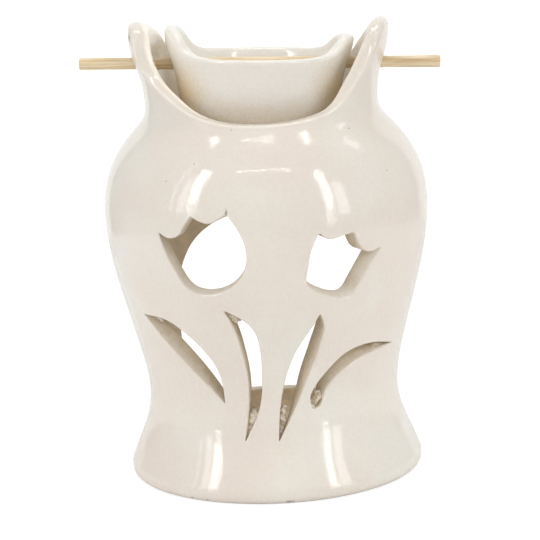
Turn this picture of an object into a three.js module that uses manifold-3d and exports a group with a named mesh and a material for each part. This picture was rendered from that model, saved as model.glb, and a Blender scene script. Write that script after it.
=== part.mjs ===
// Tea light burner: a pierced pottery chamber with a collar of two horns, an oil bowl with two ears,
// and a bamboo stick that carries the bowl over the flame.
// Millimetres, +Z up. The origin is the centre of the foot on the table. The front, with the flowers,
// faces -Y. Angles around the pot are in degrees, 0 at the front and 90 at the right (+X).

import * as THREE from 'three';
import { mergeVertices } from 'three/addons/utils/BufferGeometryUtils.js';
import Module from 'manifold-3d';

// Burner body. Its radii are outer radii, from the foot up.
const wall = 5.2; // thickness of the casting, measured square to its surface
const footRadius = 49.6; // widest radius of the flared foot
const footHeight = 4; // height of that widest line
const waistRadius = 42.4; // narrowest radius below the belly
const waistHeight = 27;
const bellyRadius = 54.5; // widest radius of the pot
const bellyHeight = 91;
const neckRadius = 39.1; // narrowest radius, below the horns
const neckHeight = 125.5;
const hornRadius = 43.3; // radius at the tips of the horns
const hornHeight = 152.6; // tip of the left horn
const rightHornDrop = 1.3; // how much lower the tip of the right horn is
const frontScoopHeight = 121.2; // lowest point of the collar at the front
const backScoopHeight = 121.8; // lowest point of the collar at the back
const collarBevel = 1.2; // softened corners along the collar's edge
const floorHeight = 9.1; // upper face of the inside floor
const floorFillet = 2; // softened corner between the floor and the wall
const footRecess = 2.6; // depth of the hollow underneath
const footRingWidth = 6.3; // width of the flat ring that the pot stands on
const footRounding = 2.4; // softened outer edge of the foot

// Bamboo stick.
const stickDiameter = 4;
const stickOverhang = 16.7; // how far each end reaches past the radius of the horns
const stickBelowTip = 15.1; // stick's axis below the tip of the left horn, half way between the horns
const stickTilt = 2.1; // degrees, the left end is the higher one
const stickChamfer = 0.3; // broken edge at the two cut ends

// Oil bowl. Its heights are measured from the stick's axis.
const bowlWall = 4;
const bowlClearance = 3.7; // gap between the bowl's level rim and the inside of the neck
const bowlRimHeight = 3; // level part of the rim
const bowlBevel = 0.9; // softened corners along the rim
const earFlare = 1; // how far the ears reach out past the level rim
const earFlareRise = 4; // how far above the level rim they have reached it
const leftEarHeight = 12.6;
const rightEarHeight = 9.4;
const bowlDepth = 34; // stick's axis down to the bowl's underside
const bowlFootRadius = 13;
const bowlFloor = 4.5; // thickness of the bowl's bottom

// Holes for the stick.
const hornHoleDiameter = 5.2;
const earHoleDiameter = 5.2;
const seatGap = 0.3; // daylight left between the stick and what it rests on or carries

// Arched door in the back wall. Its width is measured along the inside of the wall.
const doorWidth = 79.6;
const doorAside = 2.6; // how far the door's middle lies towards the right horn
const doorSill = 15.8;
const doorShoulder = 46; // height at which the straight sides turn into the arch
const doorTop = 80.4;
const doorSquareness = 2.5; // 2 is an elliptic arch, and more is squarer

// How far the potter's knife leant on some sides of the cuts: the cut comes out this much nearer the
// middle of the opening on the inside of the wall.
const knifeLean = 2;

// Fineness of the shapes.
const bodySegments = 60;
const bodyRows = 22;
const bowlSegments = 40;
const bowlRows = 9;
const collarSteps = 108;
const stickSides = 16;

// Sizes that follow from the ones above.
const stickHeight = hornHeight - stickBelowTip;
const stickLength = 2 * (hornRadius + stickOverhang);
const bowlRimRadius = neckRadius - wall - bowlClearance;
const bowlEarRadius = bowlRimRadius + earFlare;

// The pot's profile between its named radii, as [share of the way up, share of the way across].
const footToWaist = [[0.26, 0.32], [0.65, 0.81]];
const waistToBelly = [[0.22, 0.15], [0.41, 0.415], [0.73, 0.84]];
const bellyToNeck = [[0.29, 0.095], [0.61, 0.45], [0.77, 0.765], [0.91, 0.985]];
const neckToHorn = [[0.35, 0.3], [0.65, 0.9], [0.93, 1]];

// The bowl's sides up to the level rim, as [share of the way up, share of the radius at the rim].
const bowlOutside = [[0.22, 0.69], [0.43, 0.83], [0.7, 0.905], [0.88, 0.95]];
const bowlInside = [[0, 0.3], [0.12, 0.6], [0.37, 0.8], [0.68, 0.895], [0.87, 0.945]];

// The collar's edge, as [angle, share of the rise from the scoop to the tip of the horn].
const collarBackLeft = [[-150, 0.07], [-138, 0.21], [-130, 0.4], [-125, 0.58], [-121, 0.74], [-116, 0.87],
  [-107, 0.96]];
const leftHornAngle = -95;
const collarFrontLeft = [[-84, 0.99], [-76, 0.9], [-71.5, 0.66], [-68, 0.5], [-61, 0.38], [-51, 0.27],
  [-42, 0.165], [-32, 0.08], [-20, 0.022]];
const frontScoopAngle = -4;
const collarFrontRight = [[14, 0.01], [26, 0.045], [36, 0.1], [43.5, 0.2], [50, 0.35], [55.5, 0.48],
  [59, 0.61], [63, 0.8], [69, 0.94]];
const rightHornAngle = 84;
const collarBackRight = [[98, 0.97], [108, 0.86], [115, 0.72], [119.5, 0.59], [125, 0.4], [134, 0.21],
  [148, 0.07]];

// How an ear rises from the level rim, as [degrees from the ear's middle, share of its rise].
const earEdge = [[10, 0.99], [22, 0.86], [29, 0.62], [34, 0.33], [41, 0.13], [54, 0.02], [66, 0]];

// Openings in the front wall, as [x, z] seen from the front, on the outer surface. A flower is smooth
// through its points except at those marked as a corner.
const leftFlower = [
  [-34.4, 89.0, 'corner'], [-31.9, 87.4], [-28.9, 87.9], [-26.3, 91.3],
  [-23.9, 94.6, 'corner'], [-21.4, 93.2], [-18.4, 92.5], [-15.6, 93.6],
  [-12.6, 95.4, 'corner'], [-9.3, 90.2], [-7.0, 83.6], [-7.4, 78.6], [-10.6, 73.2], [-15.6, 70.1],
  [-20.8, 69.2], [-25.4, 70.4], [-29.2, 75.4], [-32.6, 82.4],
];
const rightFlower = [
  [16.4, 88.0, 'corner'], [19.2, 85.8], [23.0, 86.2],
  [27.4, 87.1, 'corner'], [28.4, 84.2], [30.1, 81.2], [32.6, 79.8],
  [35.8, 80.7, 'corner'], [31.6, 74.4], [28.2, 69.4], [25.4, 66.2], [21.0, 66.2], [16.2, 68.2],
  [12.0, 71.6], [12.4, 77.0], [13.6, 82.6],
];

// A leaf lies between two smooth lines that meet at its tips. The inner line is nearer the middle.
const leafFarLeft = {
  inner: [[-41.6, 59.3], [-34.8, 59.2], [-28.6, 55.7], [-22.6, 49.9], [-18.4, 43.6], [-16.3, 31.6]],
  outer: [[-41.6, 59.3], [-34.6, 51.0], [-28.9, 44.8], [-23.3, 39.1], [-16.3, 31.6]],
};
const leafNearLeft = {
  inner: [[-15.0, 63.8], [-10, 61.2], [-6.2, 57.6], [-4.1, 50.6], [-3.8, 41.9], [-4.9, 31], [-10.2, 19.6]],
  outer: [[-15.0, 63.8], [-12.0, 57.5], [-9.8, 49.4], [-8.5, 41.9], [-8.4, 32.0], [-10.2, 19.6]],
};
const leafNearRight = {
  inner: [[15.6, 61.2], [13.0, 57.0], [9.1, 51.6], [5.4, 44.5], [3.2, 37.5], [1.6, 29.0], [0.8, 19.4]],
  outer: [[15.6, 61.2], [16.8, 57.6], [15.9, 52.4], [13.9, 46.6], [10.9, 39.6], [8.2, 33.0], [0.8, 19.4]],
};
const leafFarRight = {
  inner: [[39.4, 45.5], [33.8, 47.7], [27.8, 47.8], [22.8, 45.9], [18.6, 42.4], [14.2, 37.6], [11.6, 32],
    [12.4, 28.8]],
  outer: [[39.4, 45.5], [34.6, 45.2], [28.7, 43.8], [22.9, 40.8], [18.6, 37.2], [15.8, 32.6], [14.6, 29.6],
    [12.4, 28.8]],
};

const radians = THREE.MathUtils.degToRad;
const lerp = THREE.MathUtils.lerp;
const wasm = await Module();
wasm.setup();

// Solids.

function solidFromArrays(vertices, triangles) {
  const build = (indices) => new wasm.Manifold(new wasm.Mesh({
    numProp: 3,
    vertProperties: new Float32Array(vertices),
    triVerts: new Uint32Array(indices),
  }));
  const solid = build(triangles);
  if (solid.volume() > 0) return solid;
  const turned = [];
  for (let i = 0; i < triangles.length; i += 3) {
    turned.push(triangles[i], triangles[i + 2], triangles[i + 1]);
  }
  return build(turned);
}

function solidFromGeometry(geometry) {
  geometry.deleteAttribute('normal');
  geometry.deleteAttribute('uv');
  const merged = mergeVertices(geometry, 1e-4);
  const triangles = [];
  for (let i = 0; i < merged.index.count; i += 3) {
    const [a, b, c] = merged.index.array.slice(i, i + 3);
    if (a !== b && b !== c && c !== a) triangles.push(a, b, c); // a turned shape has flat ones on its axis
  }
  return solidFromArrays(merged.attributes.position.array, triangles);
}

function meshFromSolid(name, solid, material) {
  const { vertProperties, triVerts } = solid.getMesh();
  const geometry = new THREE.BufferGeometry();
  geometry.setAttribute('position', new THREE.BufferAttribute(vertProperties, 3));
  geometry.setIndex(new THREE.BufferAttribute(triVerts, 1));
  geometry.computeVertexNormals();
  const mesh = new THREE.Mesh(geometry, material);
  mesh.name = name;
  return mesh;
}

const toVectors = (points) => points.map(([x, y]) => new THREE.Vector2(x, y));

// A turned solid around Z from [radius, height] points that start and end on the axis.
function turnedSolid(points, segments) {
  const geometry = new THREE.LatheGeometry(toVectors(points), segments);
  geometry.rotateX(Math.PI / 2);
  return solidFromGeometry(geometry);
}

// A closed solid between two loops of equal length. The flat outline says how to cap its ends.
function loftSolid(outerLoop, innerLoop, flatOutline) {
  if (THREE.ShapeUtils.isClockWise(flatOutline)) {
    return loftSolid([...outerLoop].reverse(), [...innerLoop].reverse(), [...flatOutline].reverse());
  }
  const count = outerLoop.length;
  const vertices = [...outerLoop, ...innerLoop].flatMap((point) => point.toArray());
  const triangles = [];
  for (const [a, b, c] of THREE.ShapeUtils.triangulateShape(flatOutline, [])) {
    triangles.push(a, b, c, count + a, count + c, count + b);
  }
  for (let i = 0; i < count; i++) {
    const next = (i + 1) % count;
    triangles.push(i, count + i, next, next, count + i, count + next);
  }
  return solidFromArrays(vertices, triangles);
}

// A closed ring around Z. Each station has an angle and a section of [radius, height] points.
function ringSolid(stations) {
  const count = stations[0].section.length;
  const vertices = stations.flatMap(({ angle, section }) => section.flatMap(([radius, height]) => [
    radius * Math.sin(radians(angle)), -radius * Math.cos(radians(angle)), height,
  ]));
  const triangles = [];
  stations.forEach((station, n) => {
    const here = n * count;
    const there = ((n + 1) % stations.length) * count;
    for (let i = 0; i < count; i++) {
      const next = (i + 1) % count;
      triangles.push(here + i, here + next, there + i, here + next, there + next, there + i);
    }
  });
  return solidFromArrays(vertices, triangles);
}

// A cutter that takes away all clay above an edge, given as [angle, height] all around, and bevels the
// two corners of the wall there. wallAt gives the wall's inside and outside radius at a height. The
// cutter reaches from one radius to another and up to the top.
function edgeCutter(edge, wallAt, bevel, fromRadius, toRadius, top) {
  const past = bevel / 2; // the bevels run on this far beyond the wall
  return ringSolid(edge.map(([angle, height]) => {
    const { inside, outside } = wallAt(height);
    const low = height - bevel - past;
    const below = wallAt(low);
    return {
      angle,
      section: [
        [fromRadius, top], [fromRadius, height + bevel],
        [below.inside - past, low], [inside + bevel, height],
        [outside - bevel, height], [below.outside + past, low],
        [toRadius, height + bevel], [toRadius, top],
      ],
    };
  }));
}

// A smooth closed line around the pot through points of [angle, height].
function smoothEdge(points, steps) {
  const stations = points.map(([angle, height]) => new THREE.Vector3(angle, height));
  const curve = new THREE.CatmullRomCurve3(stations);
  return curve.getPoints(steps).slice(0, -1).map(({ x, y }) => [x, y]);
}

// Moves a solid made around the stick's axis to the stick's place and tilt.
function alongStick(solid) {
  const place = new THREE.Matrix4().makeRotationY(radians(stickTilt));
  place.setPosition(0, 0, stickHeight);
  return solid.transform(place.elements);
}

// A round cutter along the stick's axis, a little above or below it.
function stickHole(diameter, above, fromX, toX) {
  const geometry = new THREE.CylinderGeometry(diameter / 2, diameter / 2, toX - fromX, stickSides);
  geometry.rotateZ(Math.PI / 2);
  geometry.translate((fromX + toX) / 2, 0, above);
  return solidFromGeometry(geometry);
}

// The wall of the pot.

// The radius and slope at a height of a line of points that runs upwards.
function lineAt(points, height) {
  const above = points.findIndex((point) => point.y > height);
  const i = above < 0 ? points.length - 1 : Math.max(above, 1);
  const low = points[i - 1];
  const high = points[i];
  const slope = (high.x - low.x) / (high.y - low.y);
  return { radius: low.x + slope * (height - low.y), slope };
}

function bodyProfile() {
  const between = (low, high, shares) => shares.map(([up, across]) => [
    lerp(low[0], high[0], across), lerp(low[1], high[1], up),
  ]);
  const foot = [footRadius, footHeight];
  const waist = [waistRadius, waistHeight];
  const belly = [bellyRadius, bellyHeight];
  const neck = [neckRadius, neckHeight];
  const horn = [hornRadius, hornHeight];
  return new THREE.SplineCurve(toVectors([
    foot, ...between(foot, waist, footToWaist),
    waist, ...between(waist, belly, waistToBelly),
    belly, ...between(belly, neck, bellyToNeck),
    neck, ...between(neck, horn, neckToHorn),
    horn, [hornRadius, hornHeight + wall],
  ]));
}

const bodyLine = bodyProfile().getPoints(500);

// A point in the wall: at an angle and a height, and at a depth square to the outer surface.
function wallPoint(angle, height, depth) {
  const { radius, slope } = lineAt(bodyLine, height);
  const length = Math.hypot(1, slope);
  const reach = radius - depth / length;
  return new THREE.Vector3(
    reach * Math.sin(angle),
    -reach * Math.cos(angle),
    height + depth * slope / length,
  );
}

// The pot before anything is cut: wall, floor and foot in one turned solid.
function turnedBody() {
  const ringOutside = footRadius - footRounding;
  const ringInside = ringOutside - footRingWidth;
  const corner = footRounding * (1 - Math.SQRT1_2);
  const foot = [
    [0, footRecess], [ringInside - footRecess / 2, footRecess], [ringInside, 0],
    [ringOutside, 0], [footRadius - corner, corner],
  ];
  const side = bodyProfile().getSpacedPoints(bodyRows).map(({ y }) => y);
  const section = (depth) => side.map((height) => {
    const point = wallPoint(Math.PI / 2, height, depth);
    return [point.x, point.z];
  });
  const filletTop = floorHeight + floorFillet;
  const inner = section(wall).filter(([, height]) => height > filletTop + floorFillet).reverse();
  const filletRadius = wallPoint(Math.PI / 2, filletTop, wall).x;
  const floor = [[filletRadius, filletTop], [filletRadius - floorFillet, floorHeight], [0, floorHeight]];
  return turnedSolid([...foot, ...section(0), ...inner, ...floor], bodySegments);
}

// The collar's edge: from the back, over the left horn, the front and the right horn, to the back.
function collarEdge() {
  const leftTip = hornHeight;
  const rightTip = hornHeight - rightHornDrop;
  const rise = (points, low, high) => points.map(([angle, share]) => [angle, lerp(low, high, share)]);
  return smoothEdge([
    [-180, backScoopHeight],
    ...rise(collarBackLeft, backScoopHeight, leftTip),
    [leftHornAngle, leftTip],
    ...rise(collarFrontLeft, frontScoopHeight, leftTip),
    [frontScoopAngle, frontScoopHeight],
    ...rise(collarFrontRight, frontScoopHeight, rightTip),
    [rightHornAngle, rightTip],
    ...rise(collarBackRight, backScoopHeight, rightTip),
    [180, backScoopHeight],
  ], collarSteps);
}

function collarCutter() {
  const wallAt = (height) => {
    const { radius, slope } = lineAt(bodyLine, height);
    return { inside: radius - wall * Math.hypot(1, slope), outside: radius };
  };
  const outOfReach = bellyRadius + wall;
  return edgeCutter(collarEdge(), wallAt, collarBevel, neckRadius / 2, outOfReach, hornHeight + 2 * wall);
}

// Outlines of the openings.

// A closed line that is smooth between the points marked as corners.
function flowerOutline(points, stepsPerPoint = 2) {
  const corners = points.flatMap((point, index) => (point[2] ? [index] : []));
  return corners.flatMap((from, n) => {
    const to = n + 1 < corners.length ? corners[n + 1] : corners[0] + points.length;
    const run = [];
    for (let i = from; i <= to; i++) run.push(points[i % points.length]);
    return new THREE.SplineCurve(toVectors(run)).getPoints(stepsPerPoint * (to - from)).slice(0, -1);
  });
}

function leafOutline({ inner, outer }, steps = 10) {
  const line = (points) => new THREE.SplineCurve(toVectors(points)).getPoints(steps);
  return [...line(inner), ...line(outer).reverse().slice(1, -1)];
}

// A flower's outline inside the wall. Its left side, right side and bottom each lean towards its middle.
function leaningFlower(outline, leanLeft, leanRight, leanBottom) {
  const box = new THREE.Box2().setFromPoints(outline);
  const size = box.getSize(new THREE.Vector2());
  return outline.map(({ x, y }) => {
    const across = (x - box.min.x) / size.x;
    return new THREE.Vector2(
      x + leanLeft * (1 - across) - leanRight * across,
      y + leanBottom * (box.max.y - y) / size.y,
    );
  });
}

// A leaf inside the wall: its outer line leans, and less so towards the tips.
function leaningLeaf({ inner, outer }, leanX, leanZ) {
  const moved = outer.map(([x, z], i) => {
    const share = Math.sin(Math.PI * i / (outer.length - 1));
    return [x + leanX * share, z + leanZ * share];
  });
  return { inner, outer: moved };
}

function doorOutline() {
  const half = doorWidth / 2;
  const archSteps = 18;
  const sideSteps = 6;
  const sillSteps = 8;
  const outline = [];
  const squared = (value) => Math.sign(value) * Math.abs(value) ** (2 / doorSquareness);
  for (let i = 0; i <= archSteps; i++) {
    const turn = Math.PI * i / archSteps;
    const share = i === archSteps ? 0 : squared(Math.sin(turn));
    outline.push([half * squared(Math.cos(turn)), lerp(doorShoulder, doorTop, share)]);
  }
  const sideHeight = (i) => lerp(doorShoulder, doorSill, i / sideSteps);
  for (let i = 1; i <= sideSteps; i++) outline.push([-half, sideHeight(i)]);
  for (let i = 1; i < sillSteps; i++) outline.push([lerp(-half, half, i / sillSteps), doorSill]);
  for (let i = sideSteps; i > 0; i--) outline.push([half, sideHeight(i)]);
  return toVectors(outline.map(([x, z]) => [x - doorAside, z]));
}

// Cutters for the openings.

// From an outline on the outer surface of the front wall to an outline on its inner surface.
function windowCutter(outline, insideOutline = outline) {
  const overshoot = wall / 2;
  const place = ({ x, y }, depth) => wallPoint(Math.asin(x / lineAt(bodyLine, y).radius), y, depth);
  const outside = outline.map((point) => place(point, 0));
  const inside = insideOutline.map((point) => place(point, wall));
  const extend = (from, to) => from.map((point, i) => {
    const direction = point.clone().sub(to[i]).normalize();
    return point.clone().addScaledVector(direction, overshoot);
  });
  return loftSolid(extend(outside, inside), extend(inside, outside), outline);
}

// Level and towards the axis through the back wall. The overshoots let the flat ends of the cutter clear
// the round wall.
function doorCutter() {
  const overshootInside = 2 * wall;
  const overshootOutside = bellyRadius;
  const outline = doorOutline();
  const place = ({ x, y }, outwards) => {
    const { radius } = lineAt(bodyLine, y);
    const angle = Math.PI + x / (radius - wall);
    const reach = radius + outwards;
    return new THREE.Vector3(reach * Math.sin(angle), -reach * Math.cos(angle), y);
  };
  return loftSolid(
    outline.map((point) => place(point, overshootOutside)),
    outline.map((point) => place(point, -wall - overshootInside)),
    outline,
  );
}

// The three pieces.

function makeBody() {
  const outOfReach = hornRadius + bellyRadius;
  const insideNeck = neckRadius / 2;
  const holeRaised = (hornHoleDiameter - stickDiameter) / 2 - seatGap; // the stick lies low in it
  const flowers = { left: flowerOutline(leftFlower), right: flowerOutline(rightFlower) };
  const leftInside = leaningFlower(flowers.left, -knifeLean / 2, 0, 0);
  const rightInside = leaningFlower(flowers.right, 0, knifeLean, knifeLean / 2);
  const farLeftInside = leaningLeaf(leafFarLeft, knifeLean / 2, knifeLean / 2);
  const nearRightInside = leaningLeaf(leafNearRight, -knifeLean, 0);
  const farRightInside = leaningLeaf(leafFarRight, -knifeLean / 2, knifeLean * 0.7);
  const cuts = [
    collarCutter(),
    windowCutter(flowers.left, leftInside),
    windowCutter(flowers.right, rightInside),
    windowCutter(leafOutline(leafFarLeft), leafOutline(farLeftInside)),
    windowCutter(leafOutline(leafNearLeft)),
    windowCutter(leafOutline(leafNearRight), leafOutline(nearRightInside)),
    windowCutter(leafOutline(leafFarRight), leafOutline(farRightInside)),
    doorCutter(),
    alongStick(stickHole(hornHoleDiameter, holeRaised, -outOfReach, -insideNeck)),
    alongStick(stickHole(hornHoleDiameter, holeRaised, insideNeck, outOfReach)),
  ];
  return cuts.reduce((body, cut) => body.subtract(cut), turnedBody());
}

// The bowl's edge: level at the front and back, and raised over the two ears.
function bowlEdge() {
  const ear = (middle, tip) => {
    const before = [...earEdge].reverse().map(([angle, share]) => [middle - angle, share]);
    const after = earEdge.map(([angle, share]) => [middle + angle, share]);
    const rise = ([angle, share]) => [angle, lerp(bowlRimHeight, tip, share)];
    return [...before, [middle, 1], ...after].map(rise);
  };
  return smoothEdge([
    [-180, bowlRimHeight], ...ear(-90, leftEarHeight),
    [0, bowlRimHeight], ...ear(90, rightEarHeight), [180, bowlRimHeight],
  ], 2 * bowlSegments);
}

function makeBowl() {
  const underside = -bowlDepth;
  const insideBottom = underside + bowlFloor;
  const top = Math.max(leftEarHeight, rightEarHeight) + bowlWall;
  const side = (shares, radius, bottom) => shares.map(([up, across]) => [
    across * radius, lerp(bottom, bowlRimHeight, up),
  ]);
  const ears = (inset) => [
    [bowlRimRadius - inset, bowlRimHeight], [bowlEarRadius - inset, bowlRimHeight + earFlareRise],
    [bowlEarRadius - inset, top],
  ];
  const smooth = (points) => new THREE.SplineCurve(toVectors(points)).getPoints(bowlRows);
  const outside = smooth([
    [bowlFootRadius, underside], ...side(bowlOutside, bowlRimRadius, underside), ...ears(0),
  ]);
  const inside = smooth([...side(bowlInside, bowlRimRadius - bowlWall, insideBottom), ...ears(bowlWall)]);
  const profile = [...outside, ...[...inside].reverse()].map(({ x, y }) => [x, y]);
  const cup = turnedSolid([[0, underside], ...profile, [0, insideBottom]], bowlSegments);
  const wallAt = (height) => ({
    inside: lineAt(inside, height).radius,
    outside: lineAt(outside, height).radius,
  });
  const holeLowered = (earHoleDiameter - stickDiameter) / 2 - seatGap; // the bowl hangs low on the stick
  const outOfReach = bowlEarRadius + bowlWall;
  const insideCup = bowlRimRadius / 2;
  const cuts = [
    edgeCutter(bowlEdge(), wallAt, bowlBevel, insideCup, outOfReach, top + bowlWall),
    stickHole(earHoleDiameter, -holeLowered, -outOfReach, -insideCup),
    stickHole(earHoleDiameter, -holeLowered, insideCup, outOfReach),
  ];
  return alongStick(cuts.reduce((bowl, cut) => bowl.subtract(cut), cup));
}

function makeStick() {
  const radius = stickDiameter / 2;
  const end = stickLength / 2;
  const points = [[0, -end], [radius - stickChamfer, -end], [radius, stickChamfer - end],
    [radius, end - stickChamfer], [radius - stickChamfer, end], [0, end]];
  const geometry = new THREE.LatheGeometry(toVectors(points), stickSides);
  geometry.rotateZ(-Math.PI / 2);
  return alongStick(solidFromGeometry(geometry));
}

const glaze = new THREE.MeshStandardMaterial({ color: 0xe4dcd0, roughness: 0.15, metalness: 0 });
const bamboo = new THREE.MeshStandardMaterial({ color: 0xdec8a0, roughness: 0.6, metalness: 0 });

const burner = new THREE.Group();
burner.name = 'tea_light_burner';
burner.add(meshFromSolid('burner_body', makeBody(), glaze));
burner.add(meshFromSolid('oil_bowl', makeBowl(), glaze));
burner.add(meshFromSolid('bamboo_stick', makeStick(), bamboo));

export default burner;
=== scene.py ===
import math

import bpy
import numpy as np
from mathutils import Matrix, Vector, kdtree, noise
from mathutils.geometry import delaunay_2d_cdt


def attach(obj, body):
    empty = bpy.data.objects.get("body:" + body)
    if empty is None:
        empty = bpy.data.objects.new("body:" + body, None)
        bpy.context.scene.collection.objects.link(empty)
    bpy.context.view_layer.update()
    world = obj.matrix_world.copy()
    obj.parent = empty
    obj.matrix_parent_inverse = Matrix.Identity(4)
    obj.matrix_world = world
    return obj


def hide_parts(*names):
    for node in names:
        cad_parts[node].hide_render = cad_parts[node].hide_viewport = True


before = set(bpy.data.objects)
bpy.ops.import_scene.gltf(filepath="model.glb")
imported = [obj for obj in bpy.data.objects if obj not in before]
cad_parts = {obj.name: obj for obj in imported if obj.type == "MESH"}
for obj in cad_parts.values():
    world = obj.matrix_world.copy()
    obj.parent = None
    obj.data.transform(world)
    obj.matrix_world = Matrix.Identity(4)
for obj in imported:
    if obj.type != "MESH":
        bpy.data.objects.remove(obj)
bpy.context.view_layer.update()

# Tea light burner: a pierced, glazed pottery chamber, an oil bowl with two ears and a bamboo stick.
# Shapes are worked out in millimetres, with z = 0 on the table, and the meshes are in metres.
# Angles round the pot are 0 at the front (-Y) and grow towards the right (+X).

mm = 0.001
scene = bpy.context.scene


def newObject(name, data):
    thing = bpy.data.objects.new(name, data)
    scene.collection.objects.link(thing)
    return thing


# Camera

view = {
    "place": (0.0, -650.0, 192.85),
    "target": (0.34, 0.0, 67.28),
    "lens": 130.3,
    "lean": 2.586,  # degrees by which upright lines lean to the left in the picture
}


def makeCamera():
    cameraData = bpy.data.cameras.new("camera")
    cameraData.lens = view["lens"]
    cameraData.sensor_width = 36
    cameraData.clip_start = 0.01
    camera = newObject("camera", cameraData)
    place = Vector(view["place"]) * mm
    forward = (Vector(view["target"]) * mm - place).normalized()
    side = forward.cross(Vector((0, 0, 1))).normalized()
    lean = math.radians(view["lean"])
    up = side.cross(forward) * math.cos(lean) + side * math.sin(lean)
    across = forward.cross(up)
    turn = Matrix((across, up, -forward)).transposed().to_4x4()
    camera.matrix_world = Matrix.Translation(place) @ turn
    scene.camera = camera


makeCamera()
print("camera done")


# Small helpers for shapes

def smoothLine(points, count, wrap=None):
    # A smooth line through the points. With wrap the points repeat after that step.
    points = np.array(points, float)
    if wrap is not None:
        step = np.array(wrap, float)
        points = np.vstack([points[-4:] - step, points, points[:5] + step])
    along = np.r_[0, np.cumsum(np.hypot(*np.diff(points, axis=0).T))]
    gaps = np.diff(along)
    size = len(points)
    matrix = np.eye(size)
    right = np.zeros((size, 2))
    slopes = np.diff(points, axis=0) / gaps[:, None]
    for i in range(1, size - 1):
        matrix[i, i - 1:i + 2] = gaps[i - 1], 2 * (gaps[i - 1] + gaps[i]), gaps[i]
        right[i] = 6 * (slopes[i] - slopes[i - 1])
    bend = np.linalg.solve(matrix, right)
    start, end = (0, along[-1]) if wrap is None else (along[4], along[-5])
    where = np.linspace(start, end, count, endpoint=wrap is None)
    i = np.clip(np.searchsorted(along, where, side="right") - 1, 0, size - 2)
    h = gaps[i][:, None]
    b = ((where - along[i]) / gaps[i])[:, None]
    a = 1 - b
    return (a * points[i] + b * points[i + 1]
            + ((a ** 3 - a) * bend[i] + (b ** 3 - b) * bend[i + 1]) * h * h / 6)


def closedSteps(line, wrap):
    following = np.roll(line, -1, axis=0)
    following[-1, 0] += wrap
    return following - line


def pick(line, where, wrap):
    # Points at fractional places along a line that closes on itself, or repeats after wrap.
    low = np.floor(where).astype(int)
    share = (where - low)[:, None]
    return line[low % len(line)] + closedSteps(line, wrap)[low % len(line)] * share


def evenPlaces(line, gap, wrap):
    # Fractional places at even distances along the line.
    lengths = np.hypot(*closedSteps(line, wrap).T)
    travelled = np.r_[0, np.cumsum(lengths)]
    count = max(8, round(travelled[-1] / gap))
    return np.interp(np.arange(count) * travelled[-1] / count, travelled, np.arange(len(line) + 1))


def closerInBends(line, gap, wrap):
    # Places about gap apart, and closer together where the line bends.
    steps = closedSteps(line, wrap)
    lengths = np.hypot(*steps.T)
    heading = np.arctan2(steps[:, 1], steps[:, 0])
    turn = np.abs((heading - np.roll(heading, 1) + math.pi) % (2 * math.pi) - math.pi)
    bending = turn / lengths
    for _ in range(4):
        bending = (bending + np.roll(bending, 1) + np.roll(bending, -1)) / 3
    crowd = np.r_[0, np.cumsum(lengths * (1 + 1.3 * np.minimum(bending, 3)) / gap)]
    count = round(crowd[-1])
    return np.interp(np.arange(count) * crowd[-1] / count, crowd, np.arange(len(line) + 1))


fineGap = 0.1  # mm between the points of a line while its corners are rounded


def soften(line, reach, wrap):
    # Rounds the corners of a line.
    spread = max(1, round(reach / fineGap))
    weights = np.exp(-0.5 * (np.arange(-3 * spread, 3 * spread + 1) / spread) ** 2)
    weights /= weights.sum()
    count = len(line)
    slant = np.zeros_like(line)
    slant[:, 0] = np.arange(count) * wrap / count
    flat = line - slant
    result = sum(w * np.roll(flat, k - 3 * spread, axis=0) for k, w in enumerate(weights))
    return result + slant


def insideLoop(points, loop):
    # Which points lie inside a closed loop.
    inside = np.zeros(len(points), bool)
    x, y = points.T
    for (x0, y0), (x1, y1) in zip(loop, np.roll(loop, -1, axis=0)):
        if y0 != y1:
            crosses = (y0 > y) != (y1 > y)
            inside ^= crosses & (x < (x1 - x0) * (y - y0) / (y1 - y0) + x0)
    return inside


def ripple(points, size, seed):
    # A smooth unevenness between -1 and 1, the same on every run.
    shift = Vector((seed, 2.7 * seed, -1.3 * seed))
    return np.array([noise.noise(Vector(p) / size + shift) for p in points])


def ramp(value, start, length):
    # Rises from 0 to 1 over the length.
    return np.clip((value - start) / length, 0, 1)


def turned(radius, angle, height):
    angle, height = np.broadcast_arrays(angle, height)
    return np.stack([radius * np.sin(angle), -radius * np.cos(angle), height], axis=-1)


# Shell of clay with rounded edges

# A shell is an outer and an inner skin, drawn flat as (arc, up), where arc is the angle times a mean
# radius. Loops are the rim and the openings: each has the same number of points on both skins, and the
# clay lies to the right of their direction. Near a loop the skins bend towards the cut face.

shellFineness = {
    "edgeGap": 0.62,  # mm between points along an edge
    "cutRows": 5,  # rows of points across a cut face
    "bendSteps": (90, 67.5, 45, 22.5, 0),  # degrees round a softened edge
    "easeOut": (1.5, 2.2),  # rows beyond the bend, in radii of the edge
    "crowding": 0.93,  # a point stays if no edge is nearer than this share of its row's distance
    "cell": 0.2,  # mm; where two points of a row share a cell, only the first stays
    "clear": 0.4,  # how much is left free beyond the rows, as a share of the skin's own gap
    "margin": 14,  # mm of the drawing repeated past both ends
    "between": 5,  # places looked at from one point of a loop to the next, to find the nearest edge
    "cutRipples": ((2.2, 5.1, 0.1), (0.8, 1.4, 0.05)),  # across a cut face: size, seed and depth
}
farAway = 20.0  # mm; the edge distance of points that no edge is near
onCut = 0.3  # mm; the edge distance of all points on a cut face


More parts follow.
